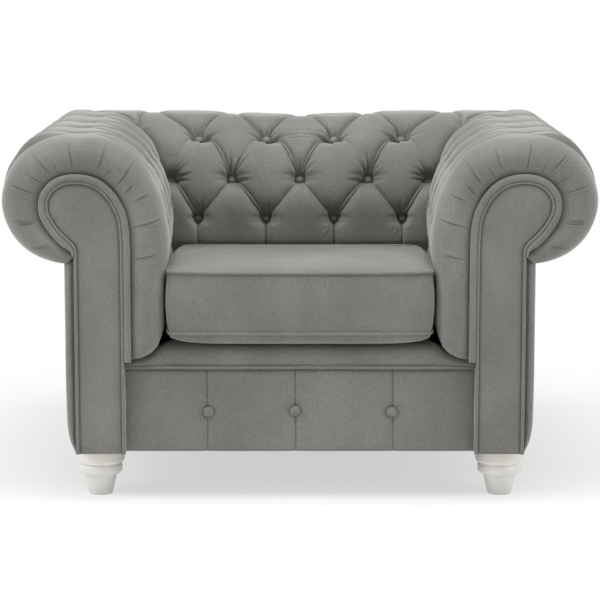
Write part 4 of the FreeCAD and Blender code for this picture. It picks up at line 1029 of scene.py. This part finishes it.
def swept(path, half_across, half_deep, y, side, power=2.5, rings=22, pinches=()):
    """A rounded strip along a path (p, Z) at depth y, both ends closed. pinches are short seams across it."""
    path = np.asarray(path)
    count = len(path)
    along = tangents(np.stack([path[:, 0], np.zeros(count), path[:, 1]], 1))
    across = np.cross(along, (0, 1, 0))
    angle = np.linspace(0, 2 * math.pi, rings, endpoint=False)
    a = squared(np.cos(angle), power) * np.broadcast_to(half_across, count)[:, None]
    b = squared(np.sin(angle), power) * half_deep
    centre = np.stack([path[:, 0], np.full(count, y), path[:, 1]], 1)
    size = np.ones(count)
    for place in pinches:
        distance = np.linalg.norm(path - np.asarray(place), axis=1)
        size -= 0.10 * bell(distance / 2.2)
    section = a[:, :, None] * across[:, None] + b[None, :, None] * np.array((0, 1, 0))
    grid = centre[:, None] + size[:, None, None] * section
    grid[..., 0] *= side
    parts = Parts()
    parts.add_grid(grid, wrap_columns=True, flip=side > 0)
    first, last = list(range(rings)), list(range((count - 1) * rings, count * rings))
    parts.faces.append(tuple(first if side > 0 else first[::-1]))
    parts.faces.append(tuple(last[::-1] if side > 0 else last))
    return parts


def band_and_piping(side, word):
    path = scroll_line(BAND_LINE, BAND_LOW, PIPE_SIDE + 9.5, 22.0)
    tail = (np.arange(len(path)) > np.argmax(path[:, 0])) & (path[:, 1] < BAND_TIP)
    path = path[~tail]
    # Towards its tip beside the neck the band narrows against the piping
    left = lengths_along(path[::-1])[::-1]
    half = BAND_TIP_HALF + (BAND_HALF - BAND_TIP_HALF) * smooth_step(left / 30)
    path[:, 0] -= (BAND_HALF - half) * smooth_step((34 - left) / 20)
    band = swept(path, half, 8.0, -430.8, side, pinches=((489.5, 583.0), (337.0, 556.0)))
    piece = band.build(f"facing_band_{word}_velvet", "velvet")
    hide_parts(f"facing_band_{word}")
    path = scroll_line(PIPE_LINE, FRONT_LOW + 1, PIPE_SIDE, 26.0)
    piping = swept(path, 3.1, 3.1, -433.3, side, 2.0, 14)
    piece = piping.build(f"facing_piping_{word}_velvet", "velvet_piping")
    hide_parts(f"facing_piping_{word}")


# Outer panels: (level, distance in from the widest level)
SIDE_LEVELS = (
    (94, 18.5), (97, 15.8), (102, 12.4), (109, 9.2), (121, 5.4), (128, 3.9), (140, 2.0), (151, 1.0),
    (175, 0.3), (220, 0.0),
)
SIDE_OUT = 451.0
REAR_Y = SIDE_OUT - MITRE
# Levels of the two rows that turn in over a panel's top, and of the one that turns in under it
PANEL_TOPS, PANEL_FOOT = (469.0, 474.0), 95.5
# Plan of an outside arm round its front, (|X|, Y), from behind the facing's piping, so that no wood shows
ARM_FRONT_PLAN = (
    (426.5, -422.4), (432.0, -422.4), (434.3, -423.0), (436.5, -426.8), (440.0, -428.0), (443.8, -426.9),
    (447.2, -423.6), (449.6, -418.6), (450.8, -412.5),
)
BEHIND_PIPING, CORNER_ROUNDING = 433.5, 9


def side_inset(level):
    levels, insets = zip(*SIDE_LEVELS)
    return float(np.interp(level, levels, insets))


def panel_levels():
    return np.concatenate([[94.5, 95.5, 98, 102, 108, 116], np.arange(126, 452, 9.0), [458, 464]])


def outside_arm(side, word):
    middle_x, middle_y = SIDE_OUT - CORNER_ROUNDING, REAR_Y - CORNER_ROUNDING
    along = [(SIDE_OUT, y) for y in np.arange(-406, middle_y, 9.0)]
    turn = np.linspace(0, math.pi / 2, 6)
    corner = zip(middle_x + CORNER_ROUNDING * np.cos(turn), middle_y + CORNER_ROUNDING * np.sin(turn))
    end = [(438.5, REAR_Y), (437.0, REAR_Y - 2.0), (436.4, REAR_Y - 6)]
    plan = np.array([*ARM_FRONT_PLAN, *along, *corner, *end])
    x, y = plan.T
    behind_piping = x < BEHIND_PIPING
    outward = smooth_step((x - BEHIND_PIPING) / 12)
    front, rear = (y < -400) * ~behind_piping, y > REAR_Y - 5
    puff = 1.1 * np.sin(math.pi * np.clip((y + 412) / (REAR_Y + 400), 0, 1)) ** 0.5
    rows = []
    for level in panel_levels():
        inset = side_inset(level)
        wave = soft_waves(y, np.full(len(plan), level), 51, 120.0, 0.9)
        ring_x = x - inset * outward + (puff + wave) * (x > 449) * (y < REAR_Y - 12)
        ring_y = y + inset * (0.35 * front - 0.8 * rear)
        rows.append(np.stack([side * ring_x, ring_y, np.full(len(plan), level)], 1))
    for inward, level in zip((3.0, 8.0), PANEL_TOPS):
        ring_x = np.where(behind_piping, x, np.maximum(x - inward, 434.0))
        ring_y = np.where(behind_piping, y, np.clip(y, -424 + inward, REAR_Y - inward))
        rows.append(np.stack([side * ring_x, ring_y, level + behind_piping * (inward - 3)], 1))
    under = rows[0].copy()
    under[:, 0] = side * np.minimum(np.abs(under[:, 0]), 428)
    under[:, 2] = PANEL_FOOT
    grid = np.array([under] + rows)
    piece = grid_object(f"outside_arm_{word}_velvet", grid, "velvet", flip=side < 0)
    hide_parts(f"outside_arm_{word}")


def outside_back():
    edge = np.array((429, 433.5, 436.0, 437.0, 437.5))
    xs = np.concatenate([-edge[::-1], np.arange(-422, 423, 9.05), edge])
    dip = np.interp(np.abs(xs), (0, 426, 433, 437, 437.5), (0, 0.2, 1.2, 3.2, 7.0))
    rows = []
    for level in panel_levels():
        y = REAR_Y - side_inset(level) * 0.8 - dip + 1.0 * np.cos(xs / 440 * math.pi / 2)
        y += soft_waves(xs, np.full(len(xs), level), 52, 130.0, 0.9) * (np.abs(xs) < 425)
        rows.append(np.stack([xs, y, np.full(len(xs), level)], 1))
    for inward, level in zip((4.0, 9.0), PANEL_TOPS):
        rows.append(np.stack([xs, REAR_Y - dip - inward, np.full(len(xs), level)], 1))
    under = rows[0].copy()
    under[:, 1], under[:, 2] = 300, PANEL_FOOT
    piece = grid_object("outside_back_velvet", np.array([under] + rows), "velvet", flip=True)
    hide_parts("outside_back")


# Front border with its stitched pleats, piping and buttons
BORDER_FACE, BORDER_HALF = -406.0, 337.0
PLEATS = (-178.9, -8.5, 179.6)
PLEAT_COLUMNS = (-6.5, -5, -3.6, -2.4, -1.5, -0.8, 0, 0.8, 1.5, 2.4, 3.6, 5, 6.5)
FRONT_BUTTONS = ((-177.0, 174.0), (-9.3, 176.0), (177.5, 174.0))


def border_columns():
    places = set(np.round(np.linspace(-BORDER_HALF, BORDER_HALF, 113), 2))
    for pleat in PLEATS:
        places = {x for x in places if abs(x - pleat) > 7}
        places |= {round(pleat + d, 2) for d in PLEAT_COLUMNS}
    for x, _ in FRONT_BUTTONS:
        places |= {round(x + d, 2) for d in np.arange(-30, 31, 2.5) if abs(d) > 8}
    return np.array(sorted(places))


def front_border():
    low_rows, high_rows = (95.2, 95.6, 97, 99.5, 103, 107), (254, 256.5, 258.5, 260)
    x, z = np.meshgrid(border_columns(), np.concatenate([low_rows, np.arange(111, 252, 2.6), high_rows]))
    seams = np.array((-BORDER_HALF - 4,) + PLEATS + (BORDER_HALF + 4,))
    k = np.clip(np.searchsorted(seams, x) - 1, 0, len(seams) - 2)
    share = (x - seams[k]) / (seams[k + 1] - seams[k])
    puff = 2.6 * (1 - np.abs(2 * share - 1) ** 5) * smooth_step((262 - z) / 16)
    y = BORDER_FACE + 1.2 - puff * (0.55 + 0.45 * smooth_step((z - 95) / 16))
    rng = np.random.default_rng(61)
    for pleat in PLEATS:
        d = x - (pleat + 0.7 * np.sin(z / 31 + pleat))
        y += 2.6 * np.exp(-np.abs(d / 1.15) ** 1.5) - 0.5 * bell((d - 3.6) / 2.2) + 0.7 * bell(d / 7)
    for bx, bz in FRONT_BUTTONS:
        r = np.hypot(x - bx, z - bz)
        y += 4.6 * bell(r / 11) + 1.5 * bell(r / 28)
        for _ in range(9):
            a, length = rng.uniform(0, 2 * math.pi), rng.uniform(16, 34)
            along = (x - bx) * math.cos(a) + (z - bz) * math.sin(a)
            off = -(x - bx) * math.sin(a) + (z - bz) * math.cos(a)
            y += between(along, 6, 6, length, length * 0.6) * 0.7 * groove(off, 1.8, 0.5, 3.2, 2.2)
    y += soft_waves(x, z, 62, 75.0, 0.7)
    y += 6.0 * smooth_step((101 - z) / 6) ** 2 + 2.5 * smooth_step((z - 253) / 7)
    grid = np.stack([x, y, z], axis=2)
    piece = grid_object("front_border_velvet", grid, "velvet")
    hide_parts("front_border")
    xs = np.linspace(-BORDER_HALF, BORDER_HALF, 240)
    path = np.stack([xs, -408.2 + 0.3 * np.sin(xs / 37), 261.2 + 0.35 * np.sin(xs / 53 + 1)], 1)
    grid = tube(path, 3.3, (0, 1, 0), rings=14)
    piece = grid_object("front_border_piping_velvet", grid, "velvet_piping", wrap_columns=True)
    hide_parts("front_border_piping")
    parts = Parts()
    for bx, bz in FRONT_BUTTONS:
        add_button(parts, (bx, BORDER_FACE + 2.2, bz), (0, -1, 0), FRONT_BUTTON_RADIUS, rng)
    piece = parts.build("front_buttons_velvet", "velvet_button")
    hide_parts("front_buttons")


# The padded lip, and the deck behind it: Z of the lip's seam, and its height above the seam in its middle
LIP_SEAM, LIP_RISE = 261.5, 47.0
# (|X|, Z) of its top, which drops beside the cushion
LIP_HEIGHTS = (
    (0, 306.4), (205, 306.9), (228, 308.6), (242, 308.3), (254, 305.0), (266, 299.0), (281, 290.0),
    (300, 282.5), (326, 276.0), (337, 274.0),
)
# (Y, share of the height above the seam)
LIP_SECTION = (
    (-402.5, 0.0), (-405.5, 0.03), (-408.0, 0.10), (-409.6, 0.22), (-410.0, 0.38), (-408.8, 0.56),
    (-405.6, 0.72), (-400.0, 0.85), (-392.0, 0.94), (-381.0, 0.985), (-366.0, 1.0), (-350.0, 0.99),
    (-336.0, 0.95), (-329.0, 0.84), (-327.0, 0.60),
)


def front_lip():
    xs = np.linspace(-BORDER_HALF, BORDER_HALF, 170)
    height = np.interp(np.abs(xs), *zip(*LIP_HEIGHTS)) - LIP_SEAM
    rows = []
    for y, lift in resampled(np.array(LIP_SECTION) * (1, LIP_RISE), 2.2):
        wave = soft_waves(xs, np.full(len(xs), y * 1.5), 71, 90.0, 1.0)
        z = LIP_SEAM + (height + wave * 0.4) * lift / LIP_RISE
        rows.append(np.stack([xs, y + wave * 0.8, z], 1))
    piece = grid_object("front_lip_velvet", np.array(rows), "velvet")
    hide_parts("front_lip")


def deck():
    """The platform under the cushion: plain cloth over wadding, a little hollow from use."""
    half, front, back, low, high = 257.0, -328.0, 117.0, 269.0, 305.5
    us, vs = np.linspace(-1, 1, 61), np.linspace(0, 1, 53)
    u, v = np.meshgrid(us, vs)
    edge = np.minimum(1 - np.abs(u), np.minimum(v, 1 - v) * 2)
    z = high - 3.2 * np.exp(-edge * 22) - 1.5 * smooth_step(edge * 2.2)
    z = z + soft_waves(u * half, v * 450, 72, 110.0, 0.8)
    top = np.stack([u * half, front + (back - front) * v, z], 2)
    parts = Parts()
    parts.add_grid(top)
    rim = np.concatenate([top[0, :], top[1:, -1], top[-1, -2::-1], top[-2:0:-1, 0]])
    lower = rim.copy()
    lower[:, 2] = low
    parts.add_grid(np.stack([rim, (rim + lower) / 2 - (0, 0, 2), lower]), wrap_columns=True, flip=True)
    piece = parts.build("deck_pad_cloth", "deck_cloth")
    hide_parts("deck_pad")


def dust_cover():
    """Thin black cloth stapled flat under the frame, cut away round the foot plates."""
    low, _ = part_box("dust_cover")
    z = low[2] / MM
    xs = np.concatenate([[-429, -425, -359, -355], np.linspace(-340, 340, 35), [355, 359, 425, 429]])
    ys = np.concatenate([[-395, -379, -311, -305], np.linspace(-295, 205, 26), [214, 218, 284, 296]])
    x, y = np.meshgrid(xs, ys)
    sag = 1.1 * np.cos(x / 430 * math.pi / 2) * np.cos((y + 50) / 346 * math.pi / 2)
    grid = np.stack([x, y, z + 1.2 - sag], 2)
    faces = []
    for face in grid_faces(len(ys), len(xs), flip=True):
        centre = grid.reshape(-1, 3)[list(face)].mean(axis=0)
        if not (abs(abs(centre[0]) - 392) < 34 and min(abs(centre[1] + 345), abs(centre[1] - 250)) < 35):
            faces.append(face)
    piece = mesh_object("dust_cover_cloth", grid.reshape(-1, 3), faces, "dust_cloth")
    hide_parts("dust_cover")


# The loose seat cushion
CUSHION_HALF, CUSHION_FRONT, CUSHION_BACK = 256.5, -428.0, 113.5
SEAM_LOW, SEAM_HIGH = 330.5, 446.5
CUSHION_COLUMNS, CUSHION_ROWS, BORDER_ROWS = 62, 64, 13
# Z of its crowns, how much lower its back edge lies, and how far its front and sides swell past the seams
CROWN_HIGH, CROWN_LOW = 472.0, 307.4
BACK_DROP = 15.0
FRONT_SWELL, SIDE_SWELL = 7.5, 4.0
# Y of the boxing where it lies flat; the zip's tape lies just behind this plane
ZIP_FACE = 119.4
# Gathers in the boxing under the top seam near the front corners: (|X|, length, depth, slant)
BOXING_PUCKERS = (
    (232, 22, 2.0, -0.5), (221, 30, 2.4, -0.55), (210, 26, 1.8, -0.5), (198, 18, 1.2, -0.4),
    (243, 18, 1.6, -0.3),
)


def cushion_plan(u, v, grow=0.0):
    """Plan of the cushion: a rectangle whose corners are rounded and whose sides bow out a little."""
    half, middle = CUSHION_HALF + grow, (CUSHION_FRONT + CUSHION_BACK) / 2
    reach = (CUSHION_BACK - CUSHION_FRONT) / 2 + grow
    back_narrowing = np.where(v > 0, 0.062 * np.abs(v) ** 6, 0.028 * np.abs(v) ** 11)
    side_retreat = np.where(v > 0, 0.055 * np.abs(u) ** 7, 0.034 * np.abs(u) ** 8)
    x = half * u * (1 - back_narrowing)
    y = middle + reach * v * (1 - side_retreat)
    return x, y


def crowded(count):
    """Places from -1 to 1, closer together at both ends."""
    return np.sin(np.linspace(-1, 1, count) * math.pi / 2 * 0.93) / math.sin(math.pi / 2 * 0.93)


def cushion_shell():
    """A closed grid shell. Returns points, faces and the vertex loops of the two seams."""
    u, v = np.meshgrid(crowded(CUSHION_COLUMNS), crowded(CUSHION_ROWS))
    crown = ((1 - np.abs(u) ** 3.2) * (1 - np.abs(v) ** 3.4)) ** 0.62
    x, y = cushion_plan(u, v)
    top = np.stack([x, y, SEAM_HIGH + 17.0 * crown], 2)
    bottom = np.stack([x, y, SEAM_LOW - 24.0 * crown], 2)
    parts = Parts()
    parts.add_grid(top)
    parts.add_grid(bottom, flip=True)
    rows, columns = u.shape
    ring = [(0, c) for c in range(columns)] + [(r, columns - 1) for r in range(1, rows)]
    ring += [(rows - 1, c) for c in range(columns - 2, -1, -1)] + [(r, 0) for r in range(rows - 2, 0, -1)]
    high_loop = [r * columns + c for r, c in ring]
    low_loop = [rows * columns + i for i in high_loop]
    loops = [low_loop]
    for share in np.linspace(0, 1, BORDER_ROWS)[1:-1]:
        grow = 5.5 * math.sin(math.pi * share)
        start = len(parts.points)
        for r, c in ring:
            px, py = cushion_plan(u[r, c], v[r, c], grow)
            parts.points.append((px, py, SEAM_LOW + (SEAM_HIGH - SEAM_LOW) * share))
        loops.append(list(range(start, start + len(ring))))
    loops.append(high_loop)
    for a, b in zip(loops, loops[1:]):
        for k in range(len(ring)):
            n = (k + 1) % len(ring)
            parts.faces.append((a[k], a[n], b[n], b[k]))
    return parts, low_loop, high_loop


def swollen(parts, loops, cap=26.0):
    """The shell's points after a cloth simulation under pressure, with its seams held."""
    start = np.array(parts.points)
    piece = plain_object("cushion_sim", (start * MM).tolist(), parts.faces)
    group = piece.vertex_groups.new(name="seams")
    group.add([i for loop in loops for i in loop], 1.0, "REPLACE")
    simulation = piece.modifiers.new("cloth", "CLOTH")
    settings = simulation.settings
    settings.quality = 6
    settings.mass = 0.25
    settings.tension_stiffness = settings.compression_stiffness = 22
    settings.shear_stiffness = 8
    settings.bending_stiffness = 1.2
    settings.use_pressure = True
    settings.uniform_pressure_force = 4.0
    settings.vertex_group_mass = "seams"
    settings.effector_weights.gravity = 0
    simulation.collision_settings.use_collision = False
    scene = bpy.context.scene
    for frame_number in range(1, 21):
        scene.frame_set(frame_number)
    evaluated = piece.evaluated_get(bpy.context.evaluated_depsgraph_get())
    moved = np.array([tuple(vertex.co) for vertex in evaluated.data.vertices]) / MM
    scene.frame_set(1)
    bpy.data.objects.remove(piece)
    shift = moved - start
    length = np.linalg.norm(shift, axis=1, keepdims=True)
    return start + shift * np.minimum(1.0, cap / np.maximum(length, 1e-6))


def refined(parts):
    """The same shell with each face split in four and smoothed."""
    piece = plain_object("coarse_shell", parts.points, parts.faces)
    smoother = piece.modifiers.new("subdivision", "SUBSURF")
    smoother.levels = smoother.render_levels = 1
    fine = piece.evaluated_get(bpy.context.evaluated_depsgraph_get()).data
    result = Parts()
    result.points = [tuple(vertex.co) for vertex in fine.vertices]
    result.faces = [tuple(polygon.vertices) for polygon in fine.polygons]
    bpy.data.objects.remove(piece)
    return result


def over_zip(points):
    """Lays the boxing flat under the zip's tape at the back."""
    x, y, z = points.T
    near = smooth_step((222 - np.abs(x)) / 16) * smooth_step((24 - np.abs(z - 390)) / 9)
    points[:, 1] = y + (ZIP_FACE - y) * near * (y > ZIP_FACE - 25)
    return points


def settled(points):
    """Gives the swollen cover its measured heights, rests it flat on the deck and drops its back edge."""
    x, y, z = points.T.copy()
    top, bottom = z > SEAM_HIGH, z < SEAM_LOW
    u = np.clip(np.abs(x) / CUSHION_HALF, 0, 1)
    going_back = (y - CUSHION_FRONT) / (CUSHION_BACK - CUSHION_FRONT)
    v = np.clip(np.abs(2 * going_back - 1), 0, 1)
    blown = (z[top] - SEAM_HIGH) / (z[top] - SEAM_HIGH).max()
    share = 0.35 * blown + 0.65 * ((1 - u**5) * (1 - v**5))[top] ** 0.7
    share = share * (1 - 0.7 * (u[top] ** 4) * smooth_step((y[top] + 160) / 220))
    crown = (CROWN_HIGH - SEAM_HIGH) * share * (1 - 0.5 * smooth_step((y[top] + 210) / 260))
    points[top, 2] = SEAM_HIGH + crown
    blown = (SEAM_LOW - z[bottom]) / (SEAM_LOW - z[bottom]).max()
    share = 0.2 * blown + ((1 - u**8) ** 0.5 * (1 - v**24) ** 0.4)[bottom]
    points[bottom, 2] = SEAM_LOW - (SEAM_LOW - CROWN_LOW) * np.minimum(1.0, share)
    front = y < CUSHION_FRONT
    past = CUSHION_FRONT - y[front]
    points[front, 1] = CUSHION_FRONT - past * min(1.0, FRONT_SWELL / past.max())
    side = np.abs(x) > CUSHION_HALF
    past = np.abs(x[side]) - CUSHION_HALF
    points[side, 0] = np.sign(x[side]) * (CUSHION_HALF + past * min(1.0, SIDE_SWELL / past.max()))
    height = np.clip((points[:, 2] - SEAM_LOW) / (SEAM_HIGH - SEAM_LOW), 0, 1)
    points[:, 2] -= BACK_DROP * height * going_back
    return points


def cushion():
    parts, low_loop, high_loop = cushion_shell()
    points = np.array(parts.points)
    points = swollen(parts, (low_loop, high_loop))
    points = over_zip(settled(points))
    parts.points = [tuple(p) for p in points]
    cover = refined(parts)
    cover.points = [tuple(p) for p in over_zip(cushion_puckers(np.array(cover.points)))]
    piece = cover.build("cushion_cover", "velvet", CUSHION)
    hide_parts("cushion_top_cover", "cushion_bottom_cover", "cushion_boxing")
    middle = points.mean(axis=0)
    inner = Parts()
    inner.add(middle + (points - middle) * (0.975, 0.98, 0.93), parts.faces)
    foam = inner.build("cushion_foam", "foam", CUSHION)
    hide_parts("cushion_core")
    piping = Parts()
    for loop, drop in ((low_loop, -0.6), (high_loop, 0.6)):
        path = points[loop]
        outward = unit((path - path.mean(axis=0)) * (1, 1, 0))
        path = path + outward * 1.0 + (0, 0, drop)
        path = resampled(np.concatenate([path, path[:1]]), 4.5)[:-1]
        piping.add_grid(tube(path, 3.0, (0, 0, 1), closed=True, rings=12), wrap_rows=True, wrap_columns=True)
    piece = piping.build("cushion_piping_velvet", "velvet_piping", CUSHION)
    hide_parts("cushion_piping")


def cushion_puckers(points):
    """Short gathers beside both seams, closer together towards the corners."""
    rng = np.random.default_rng(81)
    points = points.copy()
    for _ in range(64):
        side = rng.integers(0, 4)
        near_corner = rng.uniform(0.0, 1.0) ** 2.2
        at = rng.choice((-1, 1)) * (1 - 0.75 * near_corner)
        seam, upward = ((SEAM_HIGH, 1), (SEAM_LOW, -1))[rng.integers(0, 2)]
        length, depth = rng.uniform(14, 34), rng.uniform(0.5, 1.5)
        tilt = rng.uniform(-0.25, 0.25)
        if side < 2:
            edge = CUSHION_FRONT if side == 0 else CUSHION_BACK
            along, inward = points[:, 0] - at * CUSHION_HALF, np.abs(points[:, 1] - edge)
        else:
            middle, reach = (CUSHION_FRONT + CUSHION_BACK) / 2, (CUSHION_BACK - CUSHION_FRONT) / 2
            edge = CUSHION_HALF * (1 if side == 2 else -1)
            along, inward = points[:, 1] - middle - at * reach, np.abs(points[:, 0] - edge)
        on_cover = (points[:, 2] - seam) * upward > 0.3
        fade = between(inward, 0, 6, length, length * 0.7) * on_cover
        points[:, 2] -= upward * depth * fade * bell((along + tilt * inward) / 3.4)
    front = points[:, 1] < CUSHION_FRONT + 12
    for side in (-1, 1):
        for at, length, depth, slant in BOXING_PUCKERS:
            drop = SEAM_HIGH - points[:, 2]
            off = (points[:, 0] - side * (at + slant * drop)) / 3.2
            fade = between(drop, 0, 5, length, length * 0.6) * front
            points[:, 1] += depth * fade * groove(off, 1, 0.4, 2.2, 1)
    return points


# Camera, light, floor: place in metres, degrees down and focal length of the camera
CAMERA_PLACE, CAMERA_DOWN, CAMERA_LENS = (0, -4.8365, 1.05695), 8.526, 139.97
WORLD_LEVEL = 0.31
# Name, place, aim, width, height and power of each lamp
LAMPS = (
    ("top", (0, -0.9, 3.4), (0, -0.05, 0.4), 2.8, 2.2, 91),
    ("left", (-3.1, -1.5, 1.8), (0, 0, 0.45), 1.8, 1.8, 53),
    ("right", (3.1, -1.5, 1.8), (0, 0, 0.45), 1.8, 1.8, 38),
)
FLOOR_REACH = 12.0
# Distances from the middle at which the floor's shadows start to fade and are gone
FADE_FROM, FADE_TO = 0.55, 1.35


def camera():
    data = bpy.data.cameras.new("camera")
    data.lens = CAMERA_LENS
    data.sensor_width = 36.0
    piece = linked("camera", data)
    piece.location = CAMERA_PLACE
    piece.rotation_euler = (math.radians(90 - CAMERA_DOWN), 0, 0)
    bpy.context.scene.camera = piece


def area_light(name, place, aim, width, height, power):
    data = bpy.data.lights.new(name, "AREA")
    data.shape = "RECTANGLE"
    data.size, data.size_y = width, height
    data.energy = power
    piece = linked(name, data)
    piece.location = place
    piece.rotation_euler = (Vector(aim) - Vector(place)).to_track_quat("-Z", "Y").to_euler()


def camera_or(tree, plain, seen):
    """Mixes a shader with one that only the camera and reflections see."""
    path = tree.nodes.new("ShaderNodeLightPath")
    either = tree.nodes.new("ShaderNodeMath")
    either.operation = "MAXIMUM"
    tree.links.new(path.outputs["Is Camera Ray"], either.inputs[0])
    tree.links.new(path.outputs["Is Glossy Ray"], either.inputs[1])
    mix = tree.nodes.new("ShaderNodeMixShader")
    tree.links.new(either.outputs[0], mix.inputs["Fac"])
    tree.links.new(plain, mix.inputs[1])
    tree.links.new(seen, mix.inputs[2])
    return mix.outputs[0]


def world():
    studio = bpy.data.worlds.new("studio")
    bpy.context.scene.world = studio
    studio.use_nodes = True
    tree = studio.node_tree
    background = tree.nodes["Background"]
    background.inputs["Color"].default_value = (1, 1, 1, 1)
    background.inputs["Strength"].default_value = WORLD_LEVEL
    seen = tree.nodes.new("ShaderNodeBackground")
    seen.inputs["Color"].default_value = (1, 1, 1, 1)
    seen.inputs["Strength"].default_value = 1.0
    output = camera_or(tree, background.outputs[0], seen.outputs[0])
    tree.links.new(output, tree.nodes["World Output"].inputs["Surface"])


def floor():
    """A pale floor that keeps the chair's shadow near it and fades to the white background further out."""
    material = bpy.data.materials.new("floor")
    material.use_nodes = True
    tree = material.node_tree
    shader = tree.nodes["Principled BSDF"]
    shader.inputs["Base Color"].default_value = (0.9, 0.9, 0.9, 1)
    shader.inputs["Roughness"].default_value = 0.9
    shader.inputs["Specular IOR Level"].default_value = 0.0
    white = tree.nodes.new("ShaderNodeEmission")
    white.inputs["Strength"].default_value = 1.0
    far = camera_or(tree, shader.outputs[0], white.outputs[0])
    place = tree.nodes.new("ShaderNodeTexCoord")
    distance = tree.nodes.new("ShaderNodeVectorMath")
    distance.operation = "LENGTH"
    tree.links.new(place.outputs["Object"], distance.inputs[0])
    fading = tree.nodes.new("ShaderNodeMapRange")
    fading.interpolation_type = "SMOOTHSTEP"
    fading.inputs["From Min"].default_value = FADE_FROM
    fading.inputs["From Max"].default_value = FADE_TO
    fading.inputs["To Min"].default_value = 0.6
    tree.links.new(distance.outputs["Value"], fading.inputs["Value"])
    mix = tree.nodes.new("ShaderNodeMixShader")
    tree.links.new(fading.outputs["Result"], mix.inputs["Fac"])
    tree.links.new(shader.outputs[0], mix.inputs[1])
    tree.links.new(far, mix.inputs[2])
    tree.links.new(mix.outputs[0], tree.nodes["Material Output"].inputs["Surface"])
    corners = [(FLOOR_REACH * x, FLOOR_REACH * y, 0) for x, y in ((-1, -1), (1, -1), (1, 1), (-1, 1))]
    piece = plain_object("floor", corners, [(0, 1, 2, 3)])
    piece.data.materials.append(material)


def dress_nodes():
    """Every CAD node that stays gets its slot's own material."""
    slots = {part["node"]: part["material_slot"] for part in frame["record"]["subparts"]}
    for name, node in frame["nodes"].items():
        node.data.materials.clear()
        node.data.materials.append(MATERIALS[slots[name]])


dress_nodes()
back_pad()
for side, word in ((-1, "left"), (1, "right")):
    arm_pad(side, word)
    facing(side, word)
    band_and_piping(side, word)
    outside_arm(side, word)
tuft_buttons()
outside_back()
front_border()
front_lip()
deck()
dust_cover()
cushion()

camera()
world()
floor()
for lamp in LAMPS:
    area_light(*lamp)
bpy.context.scene.view_settings.view_transform = "Standard"
